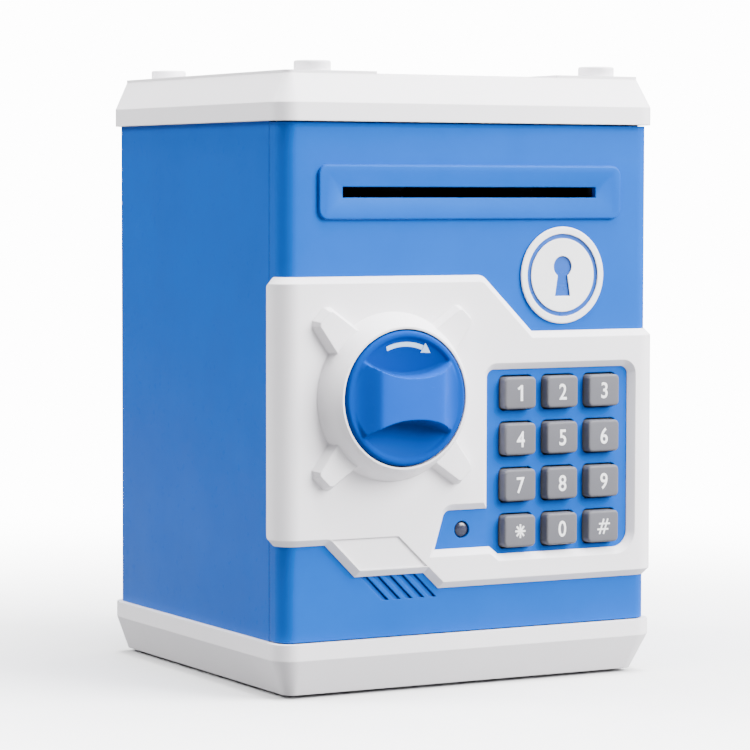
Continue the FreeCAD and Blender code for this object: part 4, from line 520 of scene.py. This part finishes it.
def knob_mesh():
    """The knob as a fine polar sheet, with its side wall and a hollow back."""
    spokes = KNOB_SPOKES
    edge = FACE_RADIUS + EDGE_ARC * np.sin(np.linspace(0.12, 1, KNOB_EDGE_RINGS) * math.pi / 2)
    radii = np.concatenate([np.linspace(0.0, FACE_RADIUS, KNOB_RINGS), edge])
    vertices = [(0.0, 0.0, float(knob_height(np.array(0.0), np.array(0.0))))]
    angles = np.arange(spokes) * 2 * math.pi / spokes
    for radius in radii[1:]:
        u, v = radius * np.cos(angles), radius * np.sin(angles)
        h = knob_height(u, v)
        vertices += list(zip(u.tolist(), v.tolist(), h.tolist()))
    rear = [
        (WALL_RADIUS, 0.35),
        (BACK_RADIUS, 0.0),
        (HOLLOW_RADIUS, 0.0),
        (HOLLOW_RADIUS, HOLLOW_DEPTH),
        (STEM_RADIUS, HOLLOW_DEPTH),
        (STEM_RADIUS, STEM_END),
        (0.001, STEM_END),
    ]
    for radius, h in rear:
        vertices += [(radius * math.cos(a), radius * math.sin(a), h) for a in angles]
    loops = len(radii) - 1 + len(rear)
    faces = [(0, 1 + i, 1 + (i + 1) % spokes) for i in range(spokes)]
    for loop in range(loops - 1):
        a, b = 1 + loop * spokes, 1 + (loop + 1) * spokes
        faces += [(a + i, b + i, b + (i + 1) % spokes, a + (i + 1) % spokes) for i in range(spokes)]
    last = 1 + (loops - 1) * spokes
    faces.append(tuple(last + i for i in range(spokes)))
    points = [knob_place(*vertex) for vertex in vertices]
    mesh = bpy.data.meshes.new("knob_form")
    mesh.from_pydata(points, [], faces)
    mesh.shade_smooth()
    mesh.set_sharp_from_angle(angle=math.radians(KNOB_SHARP_BEND))
    return mesh


def knob_arrow():
    """A plain curved arrow printed in the knob's upper scoop, pointing clockwise."""

    def around(radius, angle):
        return radius * math.cos(angle), radius * math.sin(angle)

    start, neck, tip = (math.radians(angle) for angle in (ARROW_START, ARROW_NECK, ARROW_END))
    span = [start + (neck - start) * i / ARROW_STEPS for i in range(ARROW_STEPS + 1)]
    upper = [around(ARROW_OUTER, a) for a in span]
    lower = [around(ARROW_INNER, a) for a in span]
    flat = [(upper[i], upper[i + 1], lower[i + 1], lower[i]) for i in range(ARROW_STEPS)]
    head = (around(ARROW_HEAD_OUTER, neck), around(ARROW_HEAD_INNER, neck), around(ARROW_TIP, tip))
    made = bmesh.new()

    def corner(u, v):
        h = float(knob_height(np.array(u), np.array(v))) + PRINT_LIFT
        return made.verts.new(knob_place(u, v, h))

    for outline in flat + [head]:
        made.faces.new([corner(*point) for point in outline])
    bmesh.ops.remove_doubles(made, verts=made.verts, dist=1e-7)
    for face in made.faces:
        if face.normal.y > 0:
            face.normal_flip()
    grown = bmesh.ops.extrude_face_region(made, geom=list(made.faces))
    for item in grown["geom"]:
        if isinstance(item, bmesh.types.BMVert):
            item.co.y += PRINT_THICKNESS * MM
    bmesh.ops.recalc_face_normals(made, faces=made.faces)
    mesh = bpy.data.meshes.new("knob_arrow")
    made.to_mesh(mesh)
    made.free()
    return mesh


def glyph_mesh(name, text):
    """A printed character as a flat mesh about the origin, looking to the front."""
    curve = bpy.data.curves.new(name, "FONT")
    curve.body = text
    curve.size = MARK_SIZE
    curve.extrude = MARK_DEPTH / 2
    curve.offset = MARK_BOLD
    curve.resolution_u = 5
    holder = bpy.data.objects.new(name, curve)
    bpy.context.scene.collection.objects.link(holder)
    bpy.context.view_layer.update()
    graph = bpy.context.evaluated_depsgraph_get()
    mesh = bpy.data.meshes.new_from_object(holder.evaluated_get(graph))
    bpy.data.objects.remove(holder)
    bpy.data.curves.remove(curve)
    points = np.array([vertex.co for vertex in mesh.vertices])
    mesh.transform(Matrix.Translation(-Vector((points.min(0) + points.max(0)) / 2)))
    mesh.transform(Matrix.Rotation(math.pi / 2, 4, "X"))
    mesh.transform(Matrix.Diagonal((MARK_NARROW, 1, 1, 1)))
    return mesh


def bars_mesh(name, bars):
    """A printed mark made of straight bars, each given as two ends and a width, looking to the front."""
    step = 0.000002
    made = bmesh.new()
    for number, (start, end, width) in enumerate(bars):
        start, end = Vector(start), Vector(end)
        side = (end - start).normalized().orthogonal() * width / 2
        front = -MARK_DEPTH / 2 - number * step
        corners = [start + side, start - side, end - side, end + side]
        levels = (front, MARK_DEPTH / 2)
        rings = [[made.verts.new((c.x, level, c.y)) for c in corners] for level in levels]
        made.faces.new(rings[0])
        made.faces.new(rings[1][::-1])
        for k in range(4):
            n = (k + 1) % 4
            made.faces.new((rings[0][n], rings[0][k], rings[1][k], rings[1][n]))
    bmesh.ops.recalc_face_normals(made, faces=made.faces)
    mesh = bpy.data.meshes.new(name)
    made.to_mesh(mesh)
    made.free()
    return mesh


def star_bars():
    """Four crossing bars: an asterisk with eight arms."""
    reach, thick = 2.1 * MM, 0.58 * MM
    angles = [math.pi * k / 4 for k in range(4)]
    ends = [(reach * MARK_NARROW * math.sin(a), reach * math.cos(a)) for a in angles]
    return [((-x, -y), (x, y), thick) for x, y in ends]


def hash_bars():
    """Two rising and two level bars, leaning to the right."""
    lean, high, wide, thick = 0.34, 2.35 * MM, 2.0 * MM, 0.55 * MM
    across, up = 0.72 * MM, 0.85 * MM
    rising = [((c - lean * high, -high), (c + lean * high, high), thick) for c in (-across, across)]
    level = [((lean * z - wide, z), (lean * z + wide, z), thick) for z in (-up, up)]
    return rising + level


def one_bars():
    """An upright bar with a short flag at its upper left."""
    upright = ((0.3 * MM, -2.42 * MM), (0.3 * MM, 2.42 * MM), 0.86 * MM)
    flag = ((-1.0 * MM, 1.22 * MM), (0.3 * MM, 2.1 * MM), 0.74 * MM)
    return [upright, flag]


def add_numerals():
    """A white numeral or sign on each key. A 9 is a 6 turned half round."""
    ink = plastic("key_print", tone(250, 250, 252), rough=0.45, mottle=0.02)
    bars = {"1": one_bars(), "star": star_bars(), "hash": hash_bars()}
    for name in KEYS:
        low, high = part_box(f"key_{name}")
        mark = f"mark_{name}"
        if name in bars:
            mesh = bars_mesh(mark, bars[name])
        elif name == "9":
            mesh = glyph_mesh(mark, "6")
            mesh.transform(Matrix.Rotation(math.pi, 4, "Y"))
        else:
            mesh = glyph_mesh(mark, name)
        middle = ((low.x + high.x) / 2, low.y - MARK_LIFT, (low.z + high.z) / 2)
        mesh.transform(Matrix.Translation(middle))
        piece(mark, mesh, f"key_{name}", ink)


def add_knob():
    """The finished knob and its arrow."""
    blue = bpy.data.materials["knob_plastic"]
    knob = piece("knob_form", knob_mesh(), "knob", blue)
    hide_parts("knob")
    ink = plastic("knob_print", tone(190, 220, 250), rough=0.4, mottle=0.05)
    piece("knob_arrow", knob_arrow(), "knob", ink)


# ---------------------------------------------------------------- studio


def add_camera():
    """The camera: left of the front, a little above the middle, with a long lens."""
    yaw, pitch, roll = CAMERA_YAW, CAMERA_PITCH, CAMERA_ROLL
    look = Vector((math.sin(yaw) * math.cos(pitch), math.cos(yaw) * math.cos(pitch), -math.sin(pitch)))
    right = Vector((math.cos(yaw), -math.sin(yaw), 0.0))
    up = right.cross(look)
    c, s = math.cos(roll), math.sin(roll)
    right, up = right * c + up * s, up * c - right * s
    data = bpy.data.cameras.new("camera")
    data.sensor_width = CAMERA_SENSOR
    data.lens = CAMERA_LENS
    data.clip_start, data.clip_end = 0.05, 20.0
    camera = bpy.data.objects.new("camera", data)
    turn = Matrix((right, up, -look)).transposed().to_4x4()
    camera.matrix_world = Matrix.Translation(CAMERA_PLACE) @ turn
    bpy.context.scene.collection.objects.link(camera)
    bpy.context.scene.camera = camera


def area_light(name, place, size, power, mirrored):
    """A soft square light aimed at the object; glossy faces need not mirror it."""
    data = bpy.data.lights.new(name, "AREA")
    data.size = size
    data.energy = power
    lamp = bpy.data.objects.new(name, data)
    lamp.location = place
    lamp.visible_glossy = mirrored
    lamp.rotation_euler = (Vector(MIDDLE) - Vector(place)).to_track_quat("-Z", "Y").to_euler()
    bpy.context.scene.collection.objects.link(lamp)


def add_world():
    """A dim even surround that the camera sees as white."""
    world = bpy.data.worlds.new("studio")
    bpy.context.scene.world = world
    world.use_nodes = True
    tree = world.node_tree
    tree.nodes.clear()
    output = tree.nodes.new("ShaderNodeOutputWorld")
    seen = tree.nodes.new("ShaderNodeBackground")
    lit = tree.nodes.new("ShaderNodeBackground")
    seen.inputs["Strength"].default_value = BACKDROP
    seen.inputs["Color"].default_value = (1, 1, 1, 1)
    lit.inputs["Color"].default_value = SURROUND
    lit.inputs["Strength"].default_value = SURROUND_POWER
    path = tree.nodes.new("ShaderNodeLightPath")
    mix = tree.nodes.new("ShaderNodeMixShader")
    tree.links.new(path.outputs["Is Camera Ray"], mix.inputs[0])
    tree.links.new(lit.outputs[0], mix.inputs[1])
    tree.links.new(seen.outputs[0], mix.inputs[2])
    tree.links.new(mix.outputs[0], output.inputs["Surface"])


def floor_finish():
    """Paper that looks pale, throws little light up, and fades into the white surround further out."""
    recipe = Recipe("floor_paper")
    finish(recipe, FLOOR_TONE, 0.8, mottle=0.01, wear=0.0)
    seen = recipe.node("ShaderNodeLightPath").outputs["Is Camera Ray"]
    base = recipe.shader.inputs["Base Color"]
    recipe.tree.links.new(recipe.mix(seen, FLOOR_BOUNCE, base.links[0].from_socket), base)
    reach = recipe.node("ShaderNodeVectorMath", operation="LENGTH")
    recipe.join(recipe.place, "Object", reach, 0)
    fade = recipe.ranged(reach, "Value", *FLOOR_FADE, 0.0, 1.0)
    fade.interpolation_type = "SMOOTHSTEP"
    glow = recipe.node("ShaderNodeEmission")
    recipe.set(glow, Strength=BACKDROP)
    blend = recipe.node("ShaderNodeMixShader")
    share = recipe.math("MULTIPLY", fade.outputs[0], seen)
    recipe.tree.links.new(share, blend.inputs[0])
    recipe.tree.links.new(recipe.shader.outputs[0], blend.inputs[1])
    recipe.tree.links.new(glow.outputs[0], blend.inputs[2])
    recipe.tree.links.new(blend.outputs[0], recipe.output.inputs["Surface"])
    return recipe.material


def add_floor():
    """A pale floor, large and seamless."""
    mesh = bpy.data.meshes.new("floor")
    corners = [(x * FLOOR_REACH, y * FLOOR_REACH, 0) for x, y in ((-1, -1), (1, -1), (1, 1), (-1, 1))]
    mesh.from_pydata(corners, [], [(0, 1, 2, 3)])
    floor = bpy.data.objects.new("floor", mesh)
    bpy.context.scene.collection.objects.link(floor)
    mesh.materials.append(floor_finish())


def add_studio():
    """Surround, floor, camera and lights."""
    add_world()
    add_floor()
    add_camera()
    for name, (place, size, power, mirrored) in LIGHTS.items():
        area_light(name, place, size, power, mirrored)


paint_frame()
soften_frame()
add_knob()
add_numerals()
add_studio()
